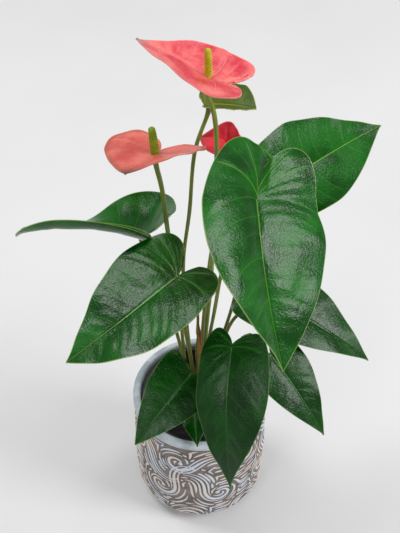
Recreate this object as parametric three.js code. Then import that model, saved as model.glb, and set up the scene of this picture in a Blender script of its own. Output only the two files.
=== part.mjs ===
// Potted anthurium: a flamingo-flower plant in its black nursery pot, standing in a decorative cover pot.
//
// Units are millimetres and +Z is up. The origin is the centre of the cover pot's underside. The plant's
// front is towards -Y. The plant is measured from the top of its crown, so it rises and falls with the mix
// it grows in. Leaves that hang over the rim are measured from the rim.
import * as THREE from 'three';
import { mergeVertices } from 'three/addons/utils/BufferGeometryUtils.js';

// ---- Cover pot -------------------------------------------------------------------------------------
const POT_HEIGHT = 145;
const POT_RIM_RADIUS = 67.5;
const POT_BELLY_RADIUS = 69;
const POT_CORNER = 23;
const POT_WALL = 7.5;
const POT_FLOOR = 8;
const RIM_ROUND = 3;
const BAND_HEIGHT = 7;
const BAND_STEP = 1.2;

// ---- Nursery pot and mix ---------------------------------------------------------------------------
const GROW_POT_WALL = 1.2;
const GROW_POT_LIP = 3;
const GROW_POT_TAPER = 14;
const GROW_POT_BELOW_RIM = 5;
const MIX_BELOW_LIP = 16;
const MIX_MOUND = 3;

// ---- Plant -----------------------------------------------------------------------------------------
const FIT_GAP = 0.35;
const CROWN_HEIGHT = 10;
const CROWN_RADIUS = 17;
const BLADE_THICKNESS = 0.9;
const SPATHE_THICKNESS = 1.1;
const PETIOLE_RADIUS = 1.7;
const FLOWER_STEM_RADIUS = 2.1;
const STEM_SIDES = 8;
const ROUND_SIDES = 40;

const UP = new THREE.Vector3(0, 0, 1);
const plant = new THREE.Group();

const point = (x, y, z) => new THREE.Vector3(x, y, z);

// ---- Finishes --------------------------------------------------------------------------------------
const FINISHES = {
  pot: { color: 0xb4aea8, roughness: 0.75 },
  growPot: { color: 0x2c2c2f, roughness: 0.5 },
  mix: { color: 0x17100e, roughness: 0.95 },
  crown: { color: 0x6d6a2c, roughness: 0.7 },
  leaf: { color: 0x0d5a10, roughness: 0.3 },
  petiole: { color: 0x6f7f22, roughness: 0.5 },
  sheath: { color: 0x9a6a2a, roughness: 0.6 },
  coralSpathe: { color: 0xf06a70, roughness: 0.4 },
  salmonSpathe: { color: 0xe0706a, roughness: 0.4 },
  redSpathe: { color: 0xc81f34, roughness: 0.4 },
  yellowSpadix: { color: 0xa5b41e, roughness: 0.6 },
  greenSpadix: { color: 0x73951c, roughness: 0.6 },
};

function addPiece(name, geometry, finish) {
  const material = new THREE.MeshStandardMaterial({ ...FINISHES[finish], metalness: 0 });
  const mesh = new THREE.Mesh(geometry, material);
  mesh.name = name;
  plant.add(mesh);
  return mesh;
}

// ---- Turned pieces ---------------------------------------------------------------------------------
function turned(profile, sides = ROUND_SIDES) {
  const points = profile.map(([radius, height]) => new THREE.Vector2(radius, height));
  return new THREE.LatheGeometry(points, sides).rotateX(Math.PI / 2);
}

function arcProfile(centreRadius, centreHeight, size, fromDegrees, toDegrees, steps) {
  const profile = [];
  for (let step = 0; step <= steps; step += 1) {
    const angle = THREE.MathUtils.degToRad(fromDegrees + ((toDegrees - fromDegrees) * step) / steps);
    profile.push([centreRadius + size * Math.cos(angle), centreHeight + size * Math.sin(angle)]);
  }
  return profile;
}

const potCavityRadius = POT_RIM_RADIUS - POT_WALL;
const potInnerCorner = Math.max(POT_CORNER - POT_WALL, RIM_ROUND);
const potBandBottom = POT_HEIGHT - BAND_HEIGHT;

function coverPot() {
  const cornerRadius = POT_BELLY_RADIUS - POT_CORNER;
  const outside = [
    [0, 0],
    ...arcProfile(cornerRadius, POT_CORNER, POT_CORNER, -90, 0, 6),
    [POT_BELLY_RADIUS, POT_HEIGHT * 0.45],
    [POT_RIM_RADIUS - BAND_STEP, potBandBottom - BAND_STEP],
    [POT_RIM_RADIUS, potBandBottom],
  ];
  const rim = [
    ...arcProfile(POT_RIM_RADIUS - RIM_ROUND, POT_HEIGHT - RIM_ROUND, RIM_ROUND, 0, 90, 3),
    ...arcProfile(potCavityRadius + RIM_ROUND, POT_HEIGHT - RIM_ROUND, RIM_ROUND, 90, 180, 3),
  ];
  const inside = [
    ...arcProfile(potCavityRadius - potInnerCorner, POT_FLOOR + potInnerCorner, potInnerCorner, 0, -90, 3),
    [0, POT_FLOOR],
  ];
  return turned([...outside, ...rim, ...inside]);
}

// The nursery pot stands on the cover pot's floor. Its wall leans in towards its base.
const growPotBottom = POT_FLOOR + FIT_GAP;
const growPotTop = POT_HEIGHT - GROW_POT_BELOW_RIM;
const growPotLipRadius = potCavityRadius - FIT_GAP;
const growPotTopRadius = growPotLipRadius - GROW_POT_LIP;
const growPotBaseRadius = Math.min(
  growPotTopRadius - GROW_POT_TAPER,
  potCavityRadius - potInnerCorner - FIT_GAP,
);

function growPotInnerRadius(height) {
  const share = (height - growPotBottom) / (growPotTop - growPotBottom);
  const outer = growPotBaseRadius + (growPotTopRadius - growPotBaseRadius) * share;
  return outer - GROW_POT_WALL;
}

function growPot() {
  const floorTop = growPotBottom + GROW_POT_WALL;
  return turned([
    [0, growPotBottom],
    [growPotBaseRadius, growPotBottom],
    [growPotTopRadius, growPotTop - GROW_POT_LIP * 2],
    [growPotLipRadius, growPotTop - GROW_POT_LIP * 2],
    [growPotLipRadius, growPotTop],
    [growPotTopRadius - GROW_POT_WALL, growPotTop],
    [growPotInnerRadius(floorTop), floorTop],
    [0, floorTop],
  ]);
}

const mixTop = growPotTop - MIX_BELOW_LIP;

function pottingMix() {
  const bottom = growPotBottom + GROW_POT_WALL + FIT_GAP;
  const moundTop = mixTop + MIX_MOUND;
  return turned([
    [0, bottom],
    [growPotInnerRadius(bottom) - FIT_GAP, bottom],
    [growPotInnerRadius(mixTop) - FIT_GAP, mixTop],
    [CROWN_RADIUS * 2, moundTop - MIX_MOUND * 0.4],
    [CROWN_RADIUS, moundTop],
    [0, moundTop],
  ]);
}

const crownBottom = mixTop + MIX_MOUND + FIT_GAP;
const crownTop = crownBottom + CROWN_HEIGHT;

function crown() {
  return turned([
    [0, crownBottom],
    [CROWN_RADIUS * 0.9, crownBottom],
    [CROWN_RADIUS, crownBottom + CROWN_HEIGHT * 0.4],
    [CROWN_RADIUS * 0.9, crownTop],
    [0, crownTop],
  ], 20);
}

// ---- Thin sheets: leaves and spathes ---------------------------------------------------------------
// A heart-shaped sheet is described flat first, as along (towards the tip) and across (from the midrib).
// Rows follow the veins: each leaves the midrib, or the point where the stem joins, and arcs to the edge.
const VEIN_ROWS = 12;
const VEIN_COLUMNS = 3;
const BASAL_SHARE = 0.42;
const WIDEST_SHARE = 0.4;
const VEIN_BEND = 0.34;
const LOBE_LIFT_EASE = 8;

function bezier(controls, share) {
  const rest = 1 - share;
  const [a, b, c, d] = controls;
  return rest ** 3 * a + 3 * rest ** 2 * share * b + 3 * rest * share ** 2 * c + share ** 3 * d;
}

// The edge runs from the back of the lobe, round the widest place, to the tip.
function edgePoint(leaf, length, side, share) {
  const lobe = leaf.lobe[side];
  const halfWidth = leaf.halfWidth[side];
  const lobeAcross = halfWidth * leaf.lobeSpread[side];
  const widestAlong = length * leaf.widest;
  const round = leaf.lobeRound;
  if (share < WIDEST_SHARE) {
    const part = share / WIDEST_SHARE;
    return {
      along: bezier(
        [lobe * (round - 1), -lobe * (1 + round), widestAlong - length * 0.28, widestAlong], part,
      ),
      across: bezier([lobeAcross, halfWidth * (0.85 - round * 0.5), halfWidth, halfWidth], part),
    };
  }
  const part = (share - WIDEST_SHARE) / (1 - WIDEST_SHARE);
  return {
    along: bezier([widestAlong, widestAlong + length * 0.34, length * 0.82, length], part),
    across: bezier([halfWidth, halfWidth * leaf.shoulder[side], halfWidth * leaf.tipWidth[side], 0], part),
  };
}

function flatPoint(leaf, length, side, rowShare, columnShare) {
  const basal = Math.min(rowShare / BASAL_SHARE, 1);
  const forward = Math.max((rowShare - BASAL_SHARE) / (1 - BASAL_SHARE), 0);
  const startAlong = -leaf.sinus * (1 - basal) + length * forward;
  const edge = edgePoint(leaf, length, side, rowShare);
  const reachAlong = edge.along - startAlong;
  const reach = Math.hypot(reachAlong, edge.across);
  const heading = Math.atan2(edge.across, reachAlong);
  const unwrapped = heading < -Math.PI / 2 ? heading + 2 * Math.PI : heading;
  const direction = Math.min(unwrapped + VEIN_BEND, Math.PI * leaf.veinCap[side]);
  const bendAlong = startAlong + 0.5 * reach * Math.cos(direction);
  const bendAcross = 0.5 * reach * Math.sin(direction);
  const rest = 1 - columnShare;
  return {
    along: rest ** 2 * startAlong + 2 * rest * columnShare * bendAlong + columnShare ** 2 * edge.along,
    across: 2 * rest * columnShare * bendAcross + columnShare ** 2 * edge.across,
  };
}

// The frame of a sheet: where it starts, its directions, and how its midrib arcs from base to tip.
function sheetFrame(leaf) {
  const chord = leaf.tip.clone().sub(leaf.base);
  const forward = chord.clone().normalize();
  const facing = leaf.facing.clone().addScaledVector(forward, -leaf.facing.dot(forward)).normalize();
  const right = forward.clone().cross(facing);
  const droop = leaf.droop === 0 ? 1e-4 : leaf.droop;
  const length = (chord.length() * droop * 0.5) / Math.sin(droop * 0.5);
  return { forward, facing, right, droop, length };
}

function sheetPoint(leaf, frame, side, flat) {
  const bend = frame.droop / frame.length;
  const startAngle = frame.droop / 2;
  const angle = startAngle - bend * flat.along;
  const midForward = (Math.sin(startAngle) - Math.sin(angle)) / bend;
  const midFacing = (Math.cos(angle) - Math.cos(startAngle)) / bend;
  const share = THREE.MathUtils.clamp(flat.along / frame.length, -1, 1);
  const fold = leaf.fold[side] + leaf.tipFold[side] * Math.max(share, 0);
  const curl = (leaf.curl[side] + leaf.tipCurl[side] * Math.max(share, 0) || 1e-4) / leaf.halfWidth[side];
  const across = flat.across;
  const outward = (Math.sin(fold + curl * across) - Math.sin(fold)) / curl;
  const behind = Math.max(-flat.along, 0);
  const raised = leaf.lobeLift[side] * Math.min(behind / 30, 1) * Math.min(flat.across / LOBE_LIFT_EASE, 1);
  const lift = (Math.cos(fold) - Math.cos(fold + curl * across)) / curl + raised;
  const twist = leaf.twist * share;
  const sign = side === 0 ? -1 : 1;
  const sweep = leaf.skew * behind + leaf.bow * Math.sin(Math.PI * Math.max(share, 0));
  const turnedOut = sign * outward * Math.cos(twist) - lift * Math.sin(twist) + sweep;
  const turnedUp = sign * outward * Math.sin(twist) + lift * Math.cos(twist);
  const facingAlong = -Math.sin(angle);
  const facingUp = Math.cos(angle);
  return leaf.base.clone()
    .addScaledVector(frame.forward, midForward + turnedUp * facingAlong)
    .addScaledVector(frame.facing, midFacing + turnedUp * facingUp)
    .addScaledVector(frame.right, turnedOut);
}

function sheetSurface(leaf) {
  const frame = sheetFrame(leaf);
  const positions = [];
  const triangles = [];
  for (let side = 0; side < 2; side += 1) {
    const first = positions.length / 3;
    for (let row = 0; row <= VEIN_ROWS; row += 1) {
      for (let column = 0; column <= VEIN_COLUMNS; column += 1) {
        const flat = flatPoint(leaf, frame.length, side, row / VEIN_ROWS, column / VEIN_COLUMNS);
        positions.push(...sheetPoint(leaf, frame, side, flat).toArray());
      }
    }
    for (let row = 0; row < VEIN_ROWS; row += 1) {
      for (let column = 0; column < VEIN_COLUMNS; column += 1) {
        const corner = first + row * (VEIN_COLUMNS + 1) + column;
        const next = corner + VEIN_COLUMNS + 1;
        const quad = side === 0 ? [corner, corner + 1, next + 1, next] : [corner, next, next + 1, corner + 1];
        triangles.push(quad[0], quad[1], quad[2], quad[0], quad[2], quad[3]);
      }
    }
  }
  const surface = new THREE.BufferGeometry();
  surface.setAttribute('position', new THREE.Float32BufferAttribute(positions, 3));
  surface.setIndex(triangles);
  return withoutSlivers(mergeVertices(surface, 1e-3));
}

// Drops the triangles that lost a corner when their points were merged.
function withoutSlivers(geometry) {
  const index = Array.from(geometry.index.array);
  const kept = [];
  for (let start = 0; start < index.length; start += 3) {
    const [a, b, c] = index.slice(start, start + 3);
    if (a !== b && b !== c && c !== a) {
      kept.push(a, b, c);
    }
  }
  geometry.setIndex(kept);
  return geometry;
}

// Gives an open surface a thickness on its underside and closes its edge.
function thickened(surface, thickness) {
  surface.computeVertexNormals();
  const top = surface.attributes.position;
  const normal = surface.attributes.normal;
  const count = top.count;
  const positions = Array.from(top.array);
  for (let vertex = 0; vertex < count; vertex += 1) {
    positions.push(
      top.getX(vertex) - normal.getX(vertex) * thickness,
      top.getY(vertex) - normal.getY(vertex) * thickness,
      top.getZ(vertex) - normal.getZ(vertex) * thickness,
    );
  }
  const index = Array.from(surface.index.array);
  const edges = new Set();
  for (let start = 0; start < index.length; start += 3) {
    for (let corner = 0; corner < 3; corner += 1) {
      edges.add(`${index[start + corner]}_${index[start + ((corner + 1) % 3)]}`);
    }
  }
  const triangles = [...index];
  for (let start = 0; start < index.length; start += 3) {
    triangles.push(index[start] + count, index[start + 2] + count, index[start + 1] + count);
    for (let corner = 0; corner < 3; corner += 1) {
      const from = index[start + corner];
      const to = index[start + ((corner + 1) % 3)];
      if (!edges.has(`${to}_${from}`)) {
        triangles.push(to, from, from + count, to, from + count, to + count);
      }
    }
  }
  const solid = new THREE.BufferGeometry();
  solid.setAttribute('position', new THREE.Float32BufferAttribute(positions, 3));
  solid.setIndex(triangles);
  return solid;
}

// ---- Stems -----------------------------------------------------------------------------------------
function roundShape(radius) {
  const outline = [];
  for (let side = 0; side < STEM_SIDES; side += 1) {
    const angle = (side / STEM_SIDES) * Math.PI * 2;
    outline.push(new THREE.Vector2(radius * Math.cos(angle), radius * Math.sin(angle)));
  }
  return new THREE.Shape(outline);
}

function stemGeometry(points, radius, steps) {
  const path = new THREE.CatmullRomCurve3(points, false, 'centripetal');
  return new THREE.ExtrudeGeometry(roundShape(radius), { steps, extrudePath: path });
}

// The seats on the crown: an inner ring for flower stems and an outer ring for leaf stems.
function crownSeat(degrees, radius) {
  const angle = THREE.MathUtils.degToRad(degrees);
  return point(radius * Math.cos(angle), radius * Math.sin(angle), crownTop + FIT_GAP);
}

const aboveCrown = (x, y, height) => point(x, y, crownTop + height);

// A place beyond the rim: an angle round the pot, a distance out from the rim and a height above it.
function beyondRim(degrees, distance, height) {
  const angle = THREE.MathUtils.degToRad(degrees);
  const reach = POT_RIM_RADIUS + distance;
  return point(reach * Math.cos(angle), reach * Math.sin(angle), POT_HEIGHT + height);
}

// The end of a stem under a sheet. It arrives square to the sheet, clear of its underside.
function stemEnd(sheet, thickness, radius) {
  const frame = sheetFrame(sheet);
  const tilt = frame.droop / 2;
  const square = frame.facing.clone().multiplyScalar(Math.cos(tilt)).addScaledVector(frame.forward, -Math.sin(tilt));
  const slope = Math.max(0, -Math.min(sheet.fold[0], sheet.fold[1]));
  const clearance = thickness + FIT_GAP + radius * Math.sin(slope) + 0.15;
  return {
    end: sheet.base.clone().addScaledVector(square, -clearance),
    before: sheet.base.clone().addScaledVector(square, -clearance - radius * 4),
    square,
  };
}

function addStem(name, seat, route, sheet, thickness, radius, finish, steps = 16) {
  const { end, before } = stemEnd(sheet, thickness, radius);
  const start = seat.clone().addScaledVector(UP, radius * 3);
  addPiece(name, stemGeometry([seat, start, ...route, before, end], radius, steps), finish);
}

// ---- Leaves ----------------------------------------------------------------------------------------
// Values in pairs are for the left half, then the right half, looking from the stem towards the tip.
// lobe is how far the half reaches back past the stem, lobeSpread how far from the midrib its back is, as a
// share of halfWidth, and sinus how far behind the stem the halves part. fold is the angle that a half rises
// from the midrib and curl how far it then bends, in radians. tipFold and tipCurl are added towards the tip.
const SHEET_DEFAULTS = {
  lobeSpread: [0.42, 0.42],
  lobeRound: 0.2,
  lobeLift: [0, 0],
  veinCap: [0.985, 0.985],
  sinus: 3,
  widest: 0.12,
  shoulder: [1, 1],
  tipWidth: [0.2, 0.2],
  fold: [0.12, 0.12],
  tipFold: [0, 0],
  curl: [-0.25, -0.25],
  tipCurl: [0, 0],
  skew: 0,
  bow: 0,
  twist: 0,
  droop: 0.5,
};

const LEAVES = [
  {
    name: 'front_right',
    base: aboveCrown(43, -20, 273),
    tip: aboveCrown(63, -112, 182),
    facing: point(0.2, -0.56, 0.7),
    lobe: [40.5, 54],
    halfWidth: [55, 55],
    lobeSpread: [0.06, -0.3],
    sinus: 10,
    widest: 0.11,
    fold: [-0.08, 0.82],
    droop: 0.43,
    veinCap: [0.985, 1.13],
    lobeLift: [7.7, -2.8],
    lobeRound: 0.38,
    shoulder: [1.32, 1.01],
    tipWidth: [0.4, 0.17],
    skew: -0.31,
    bow: 4.7,
    curl: [-0.31, -0.77],
    seat: [330, 5],
    route: [aboveCrown(8, -5, 86), aboveCrown(13, -6, 133), aboveCrown(18, -8, 181), aboveCrown(26, -10, 225)],
  },
  {
    name: 'back_right',
    base: aboveCrown(88, 76, 224),
    tip: aboveCrown(162, 112, 249),
    facing: point(-0.2, -0.5, 0.85),
    lobe: [36, 44],
    halfWidth: [48, 42],
    droop: 0.3,
    twist: 0.1,
    seat: [40, 12],
    route: [aboveCrown(20, 15, 62), aboveCrown(31, 30, 100), aboveCrown(42, 54, 142), aboveCrown(66, 72, 192)],
  },
  {
    name: 'left',
    base: aboveCrown(-47, 50, 175),
    tip: aboveCrown(-162, 42, 182),
    facing: point(0.17, -0.48, 1),
    lobe: [4, 14.6],
    halfWidth: [32.6, 42.4],
    lobeSpread: [0.2, 0.34],
    sinus: 2,
    widest: -0.1,
    shoulder: [1.2, 0.86],
    tipWidth: [1.08, -0.32],
    fold: [0.25, 0.31],
    tipFold: [0, -3.08],
    curl: [0.98, 0.32],
    droop: 2.16,
    tipCurl: [1.6, 0],
    bow: -2.8,
    twist: -0.2,
    seat: [155, 12],
    route: [aboveCrown(-18, 14, 50), aboveCrown(-30, 30, 100)],
  },
  {
    name: 'front_left',
    base: aboveCrown(-20, -25, 195),
    tip: aboveCrown(-109, -80, 152),
    facing: point(-0.36, -0.25, 0.9),
    lobe: [29, 26],
    halfWidth: [45, 50],
    lobeSpread: [0.12, 0.34],
    widest: 0.16,
    tipWidth: [0.5, 0.16],
    fold: [0.15, 0.15],
    curl: [-0.12, -0.1],
    droop: 0.25,
    twist: 0.1,
    lobeRound: 0.3,
    shoulder: [1.04, 1],
    bow: -3.5,
    seat: [188, 12],
    route: [aboveCrown(-14, -5, 50), aboveCrown(-17, -15, 130)],
  },
  {
    name: 'low_left',
    base: aboveCrown(-9, -30, 71),
    tip: beyondRim(234, 34, 26),
    facing: point(-0.05, -0.5, 0.86),
    lobe: [12, 9],
    halfWidth: [29, 30],
    lobeSpread: [0.42, 0.46],
    sinus: 1,
    widest: 0.08,
    tipWidth: [0.3, 0.3],
    droop: 0.5,
    seat: [216, 12],
    route: [aboveCrown(-10, -15, 34)],
  },
  {
    name: 'low_front',
    base: aboveCrown(28, -32, 110),
    tip: beyondRim(284, 48, 0),
    facing: point(-0.38, -0.68, 0.62),
    lobe: [18, 21],
    halfWidth: [38, 30],
    lobeSpread: [0.38, 0.28],
    sinus: 5,
    widest: 0.25,
    tipWidth: [0.08, 0.08],
    droop: 0.8,
    seat: [306, 12],
    route: [aboveCrown(12, -17, 40), aboveCrown(20, -27, 78)],
  },
  {
    name: 'low_right',
    base: aboveCrown(68, -10, 73),
    tip: beyondRim(334.5, 64, 3),
    facing: point(0.3, -0.6, 0.72),
    lobe: [20, 20],
    halfWidth: [27.5, 26.5],
    widest: 0.14,
    droop: 0.5,
    seat: [336, 12],
    route: [aboveCrown(27, -9, 42), aboveCrown(50, -11, 62)],
  },
  {
    name: 'right',
    base: aboveCrown(59, 32, 111),
    tip: aboveCrown(164, 2, 51),
    facing: point(0.36, -0.4, 0.84),
    lobe: [16, 24],
    halfWidth: [42, 33],
    widest: 0.12,
    droop: 0.5,
    seat: [8, 12],
    route: [aboveCrown(19, 4, 62), aboveCrown(31, 13, 98), aboveCrown(45, 23, 105)],
  },
  {
    name: 'top',
    base: aboveCrown(6, 55, 309),
    tip: aboveCrown(45, 54, 305),
    facing: point(0.1, -0.25, 0.96),
    lobe: [8, 4],
    halfWidth: [20, 5],
    widest: 0.3,
    tipWidth: [1.7, 0.9],
    droop: 0.4,
    shoulder: [1.1, 1],
    seat: [120, 12],
    route: [
      aboveCrown(-13, 20, 92), aboveCrown(-15, 29, 158), aboveCrown(-9, 38, 212), aboveCrown(-4, 49, 268),
    ],
  },
  {
    name: 'rim',
    base: aboveCrown(-5, -35, 20),
    tip: beyondRim(268, 2.5, 4),
    facing: point(-0.1, -0.3, 0.95),
    lobe: [8, 8],
    halfWidth: [14, 14],
    sinus: 1,
    droop: 0.5,
    seat: [246, 13],
    route: [aboveCrown(-5, -24, 12)],
  },
];

function addLeaf(spec) {
  const leaf = { ...SHEET_DEFAULTS, ...spec };
  addPiece(`${leaf.name}_blade`, thickened(sheetSurface(leaf), BLADE_THICKNESS), 'leaf');
  const seat = crownSeat(...leaf.seat);
  addStem(`${leaf.name}_petiole`, seat, leaf.route, leaf, BLADE_THICKNESS, PETIOLE_RADIUS, 'petiole');
}

// ---- Flowers ---------------------------------------------------------------------------------------
const FLOWERS = [
  {
    name: 'top',
    base: aboveCrown(6, 34, 346),
    tip: aboveCrown(-46, 46, 371),
    facing: point(0.05, 0, 0.9),
    lobe: [30, 34],
    sinus: 14,
    halfWidth: [49, 31.6],
    lobeSpread: [-0.09, 0.28],
    widest: -0.14,
    tipWidth: [0.83, 0.04],
    droop: -0.4,
    fold: [0.43, 0.08],
    curl: [-0.14, 0.29],
    lobeRound: 0.34,
    shoulder: [1.02, 1.26],
    skew: -0.09,
    bow: 7.8,
    spadixLength: 24,
    spadixRadius: 3,
    spadixFoot: 0.7,
    spadixLean: point(0, -0.1, 1),
    finish: 'coralSpathe',
    spadixFinish: 'yellowSpadix',
    seat: [45, 5],
    route: [
      aboveCrown(6, 3, 102), aboveCrown(9, 8, 140), aboveCrown(10.5, 14, 181),
      aboveCrown(12, 27, 236), aboveCrown(13.5, 37, 274), aboveCrown(11, 38, 310),
    ],
  },
  {
    name: 'left',
    base: aboveCrown(-35, 20, 287),
    tip: aboveCrown(-56, -14, 294),
    facing: point(-0.03, 0.23, 0.97),
    lobe: [31.6, 27.4],
    sinus: 6.9,
    halfWidth: [39.8, 48],
    lobeSpread: [0.28, 0.23],
    widest: -0.08,
    tipWidth: [0.78, 0.4],
    droop: 0.05,
    twist: -0.21,
    fold: [0.13, 0.1],
    curl: [0.22, -0.22],
    shoulder: [1.06, 1],
    tipCurl: [0.14, 0],
    spadixLength: 24,
    spadixRadius: 3.5,
    spadixFoot: 0.4,
    spadixLean: point(-0.05, -0.05, 1),
    finish: 'salmonSpathe',
    spadixFinish: 'greenSpadix',
    seat: [180, 5],
    route: [aboveCrown(-9, 2, 56), aboveCrown(-15, 8, 100), aboveCrown(-27, 25, 192), aboveCrown(-31, 24, 247)],
  },
  {
    name: 'young',
    base: aboveCrown(27, 60, 259),
    tip: aboveCrown(0, 60, 273),
    facing: point(0.06, -0.81, 0.57),
    lobe: [7, 8],
    sinus: 1,
    halfWidth: [24, 17],
    widest: 0.2,
    droop: -0.48,
    fold: [0.5, 0.26],
    curl: [1, 0.36],
    lobeSpread: [0.1, 0.42],
    shoulder: [1.39, 1.24],
    tipWidth: [0.98, 0.16],
    bow: 6.3,
    spadixLength: 11,
    spadixRadius: 1.4,
    spadixFoot: 1.5,
    spadixLean: point(-0.5, -0.5, 0.5),
    finish: 'redSpathe',
    spadixFinish: 'yellowSpadix',
    seat: [100, 5],
    route: [aboveCrown(3, 20, 80), aboveCrown(10, 45, 150), aboveCrown(21, 61, 215)],
  },
];

function spadixGeometry(base, lean, length, radius) {
  const axis = lean.clone().normalize();
  const profile = [[0, 0], [radius * 0.85, 0]];
  const steps = 5;
  for (let step = 1; step < steps; step += 1) {
    const share = step / steps;
    profile.push([radius * (1 - 0.35 * share * share), length * share]);
  }
  profile.push([radius * 0.35, length * 0.98], [0, length]);
  const turn = new THREE.Quaternion().setFromUnitVectors(UP, axis);
  return turned(profile, 10).applyQuaternion(turn).translate(...base.toArray());
}

function addFlower(spec) {
  const flower = { ...SHEET_DEFAULTS, ...spec };
  addPiece(`${flower.name}_spathe`, thickened(sheetSurface(flower), SPATHE_THICKNESS), flower.finish);
  const seat = crownSeat(...flower.seat);
  addStem(
    `${flower.name}_flower_stem`, seat, flower.route, flower, SPATHE_THICKNESS, FLOWER_STEM_RADIUS, 'petiole', 22,
  );
  const { square } = stemEnd(flower, SPATHE_THICKNESS, FLOWER_STEM_RADIUS);
  const tilt = square.angleTo(flower.spadixLean) + Math.max(0, ...flower.fold) + 0.1;
  const lift = FIT_GAP + flower.spadixFoot + flower.spadixRadius * Math.sin(tilt);
  const foot = flower.base.clone().addScaledVector(square, lift);
  const spadix = spadixGeometry(foot, flower.spadixLean, flower.spadixLength, flower.spadixRadius);
  addPiece(`${flower.name}_spadix`, spadix, flower.spadixFinish);
}

// ---- Sheath ----------------------------------------------------------------------------------------
const SHEATH = {
  ...SHEET_DEFAULTS,
  base: aboveCrown(0.5, -13.5, 4),
  tip: aboveCrown(-2, -8, 131),
  facing: point(0, -1, 0),
  lobe: [3, 3],
  sinus: 1,
  halfWidth: [4, 4],
  widest: 0.2,
  droop: -0.1,
  fold: [-0.3, -0.3],
  curl: [-0.8, -0.8],
};

addPiece('decorative_pot', coverPot(), 'pot');
addPiece('grow_pot', growPot(), 'growPot');
addPiece('potting_mix', pottingMix(), 'mix');
addPiece('crown', crown(), 'crown');
addPiece('sheath', thickened(sheetSurface(SHEATH), BLADE_THICKNESS), 'sheath');
LEAVES.forEach(addLeaf);
FLOWERS.forEach(addFlower);

export default plant;
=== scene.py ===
import math

import bpy
import numpy as np
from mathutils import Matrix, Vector, noise


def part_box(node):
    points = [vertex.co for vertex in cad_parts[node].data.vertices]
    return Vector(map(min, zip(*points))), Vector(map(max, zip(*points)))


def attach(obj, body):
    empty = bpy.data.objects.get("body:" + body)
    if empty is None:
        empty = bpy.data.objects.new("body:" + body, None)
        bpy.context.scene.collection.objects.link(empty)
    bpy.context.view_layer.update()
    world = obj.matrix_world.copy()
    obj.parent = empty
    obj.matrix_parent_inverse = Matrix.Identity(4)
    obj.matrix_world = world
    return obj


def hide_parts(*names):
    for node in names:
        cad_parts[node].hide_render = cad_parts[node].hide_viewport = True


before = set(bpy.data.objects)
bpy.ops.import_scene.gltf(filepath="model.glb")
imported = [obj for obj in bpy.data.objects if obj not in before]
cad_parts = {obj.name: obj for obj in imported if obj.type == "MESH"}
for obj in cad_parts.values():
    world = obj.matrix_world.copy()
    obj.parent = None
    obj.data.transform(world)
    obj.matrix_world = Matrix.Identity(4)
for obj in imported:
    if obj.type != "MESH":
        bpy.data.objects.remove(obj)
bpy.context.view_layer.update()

# A potted anthurium: a relief cover pot with a plastic grow pot inside, potting mix, a short crown,
# ten glossy leaves on their petioles, and three flowers, each a spathe with a spadix on a long stem.
# Lengths in the tables are in millimetres, and MM turns them into metres.

MM = 0.001
BODY = "root"

pot_low, pot_high = (np.array(corner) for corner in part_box("decorative_pot"))
crown_low, crown_high = (np.array(corner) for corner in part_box("crown"))
grow_low, grow_high = (np.array(corner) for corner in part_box("grow_pot"))
mix_low, mix_high = (np.array(corner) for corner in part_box("potting_mix"))

AXIS = (crown_low + crown_high) / 2
CROWN_TOP = crown_high[2]
RIM_TOP = pot_high[2]
POT_BOTTOM = pot_low[2]
RIM_RADIUS = 67.5 * MM
BELLY_RADIUS = (pot_high[0] - pot_low[0]) / 2


# ---------------------------------------------------------------- camera

CAMERA_BACK = 0.4827
CAMERA_ABOVE_FLOOR = 0.8022
CAMERA_TILT = 45
CAMERA_LENS = 54.03

camera_data = bpy.data.cameras.new("studio_camera")
camera = bpy.data.objects.new("studio_camera", camera_data)
bpy.context.scene.collection.objects.link(camera)
camera.location = (AXIS[0], AXIS[1] - CAMERA_BACK, POT_BOTTOM + CAMERA_ABOVE_FLOOR)
camera.rotation_euler = (math.radians(CAMERA_TILT), 0, 0)
camera_data.lens = CAMERA_LENS
camera_data.sensor_width = 36
camera_data.clip_start = 0.02
camera_data.clip_end = 20
bpy.context.scene.camera = camera


# ---------------------------------------------------------------- colours and node helpers

def shade(red, green, blue):
    """A colour of the finish, given as it looks on paper from 0 to 255, as linear values."""
    linear = []
    for value in (red, green, blue):
        value /= 255
        linear.append(value / 12.92 if value <= 0.04045 else ((value + 0.055) / 1.055) ** 2.4)
    return (*linear, 1)


def feed(tree, socket, value):
    """Links a value that another node gives, and sets a plain one."""
    if isinstance(value, bpy.types.NodeSocket):
        tree.links.new(value, socket)
    else:
        socket.default_value = value


def add_node(tree, kind, inputs=None, **settings):
    node = tree.nodes.new(kind)
    for name, value in settings.items():
        setattr(node, name, value)
    for name, value in (inputs or {}).items():
        feed(tree, node.inputs[name], value)
    return node


def math_node(tree, operation, first, second=0.0, clamp=False):
    node = add_node(tree, "ShaderNodeMath", {0: first, 1: second}, operation=operation, use_clamp=clamp)
    return node.outputs[0]


def times(tree, first, second):
    return math_node(tree, "MULTIPLY", first, second)


def blend_colours(tree, amount, first, second):
    sockets = {0: amount, 6: first, 7: second}
    return add_node(tree, "ShaderNodeMix", sockets, data_type="RGBA", clamp_factor=True).outputs[2]


def fall_off(tree, value, start, end, low=1.0, high=0.0):
    """low up to start, high past end, and smooth between them."""
    node = add_node(
        tree, "ShaderNodeMapRange",
        {"Value": value, "From Min": start, "From Max": end, "To Min": low, "To Max": high},
        interpolation_type="SMOOTHSTEP",
    )
    return node.outputs["Result"]


def noise_value(tree, vector, scale, detail=2.0, roughness=0.5):
    inputs = {"Vector": vector, "Scale": scale, "Detail": detail, "Roughness": roughness}
    return add_node(tree, "ShaderNodeTexNoise", inputs).outputs["Fac"]


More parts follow.
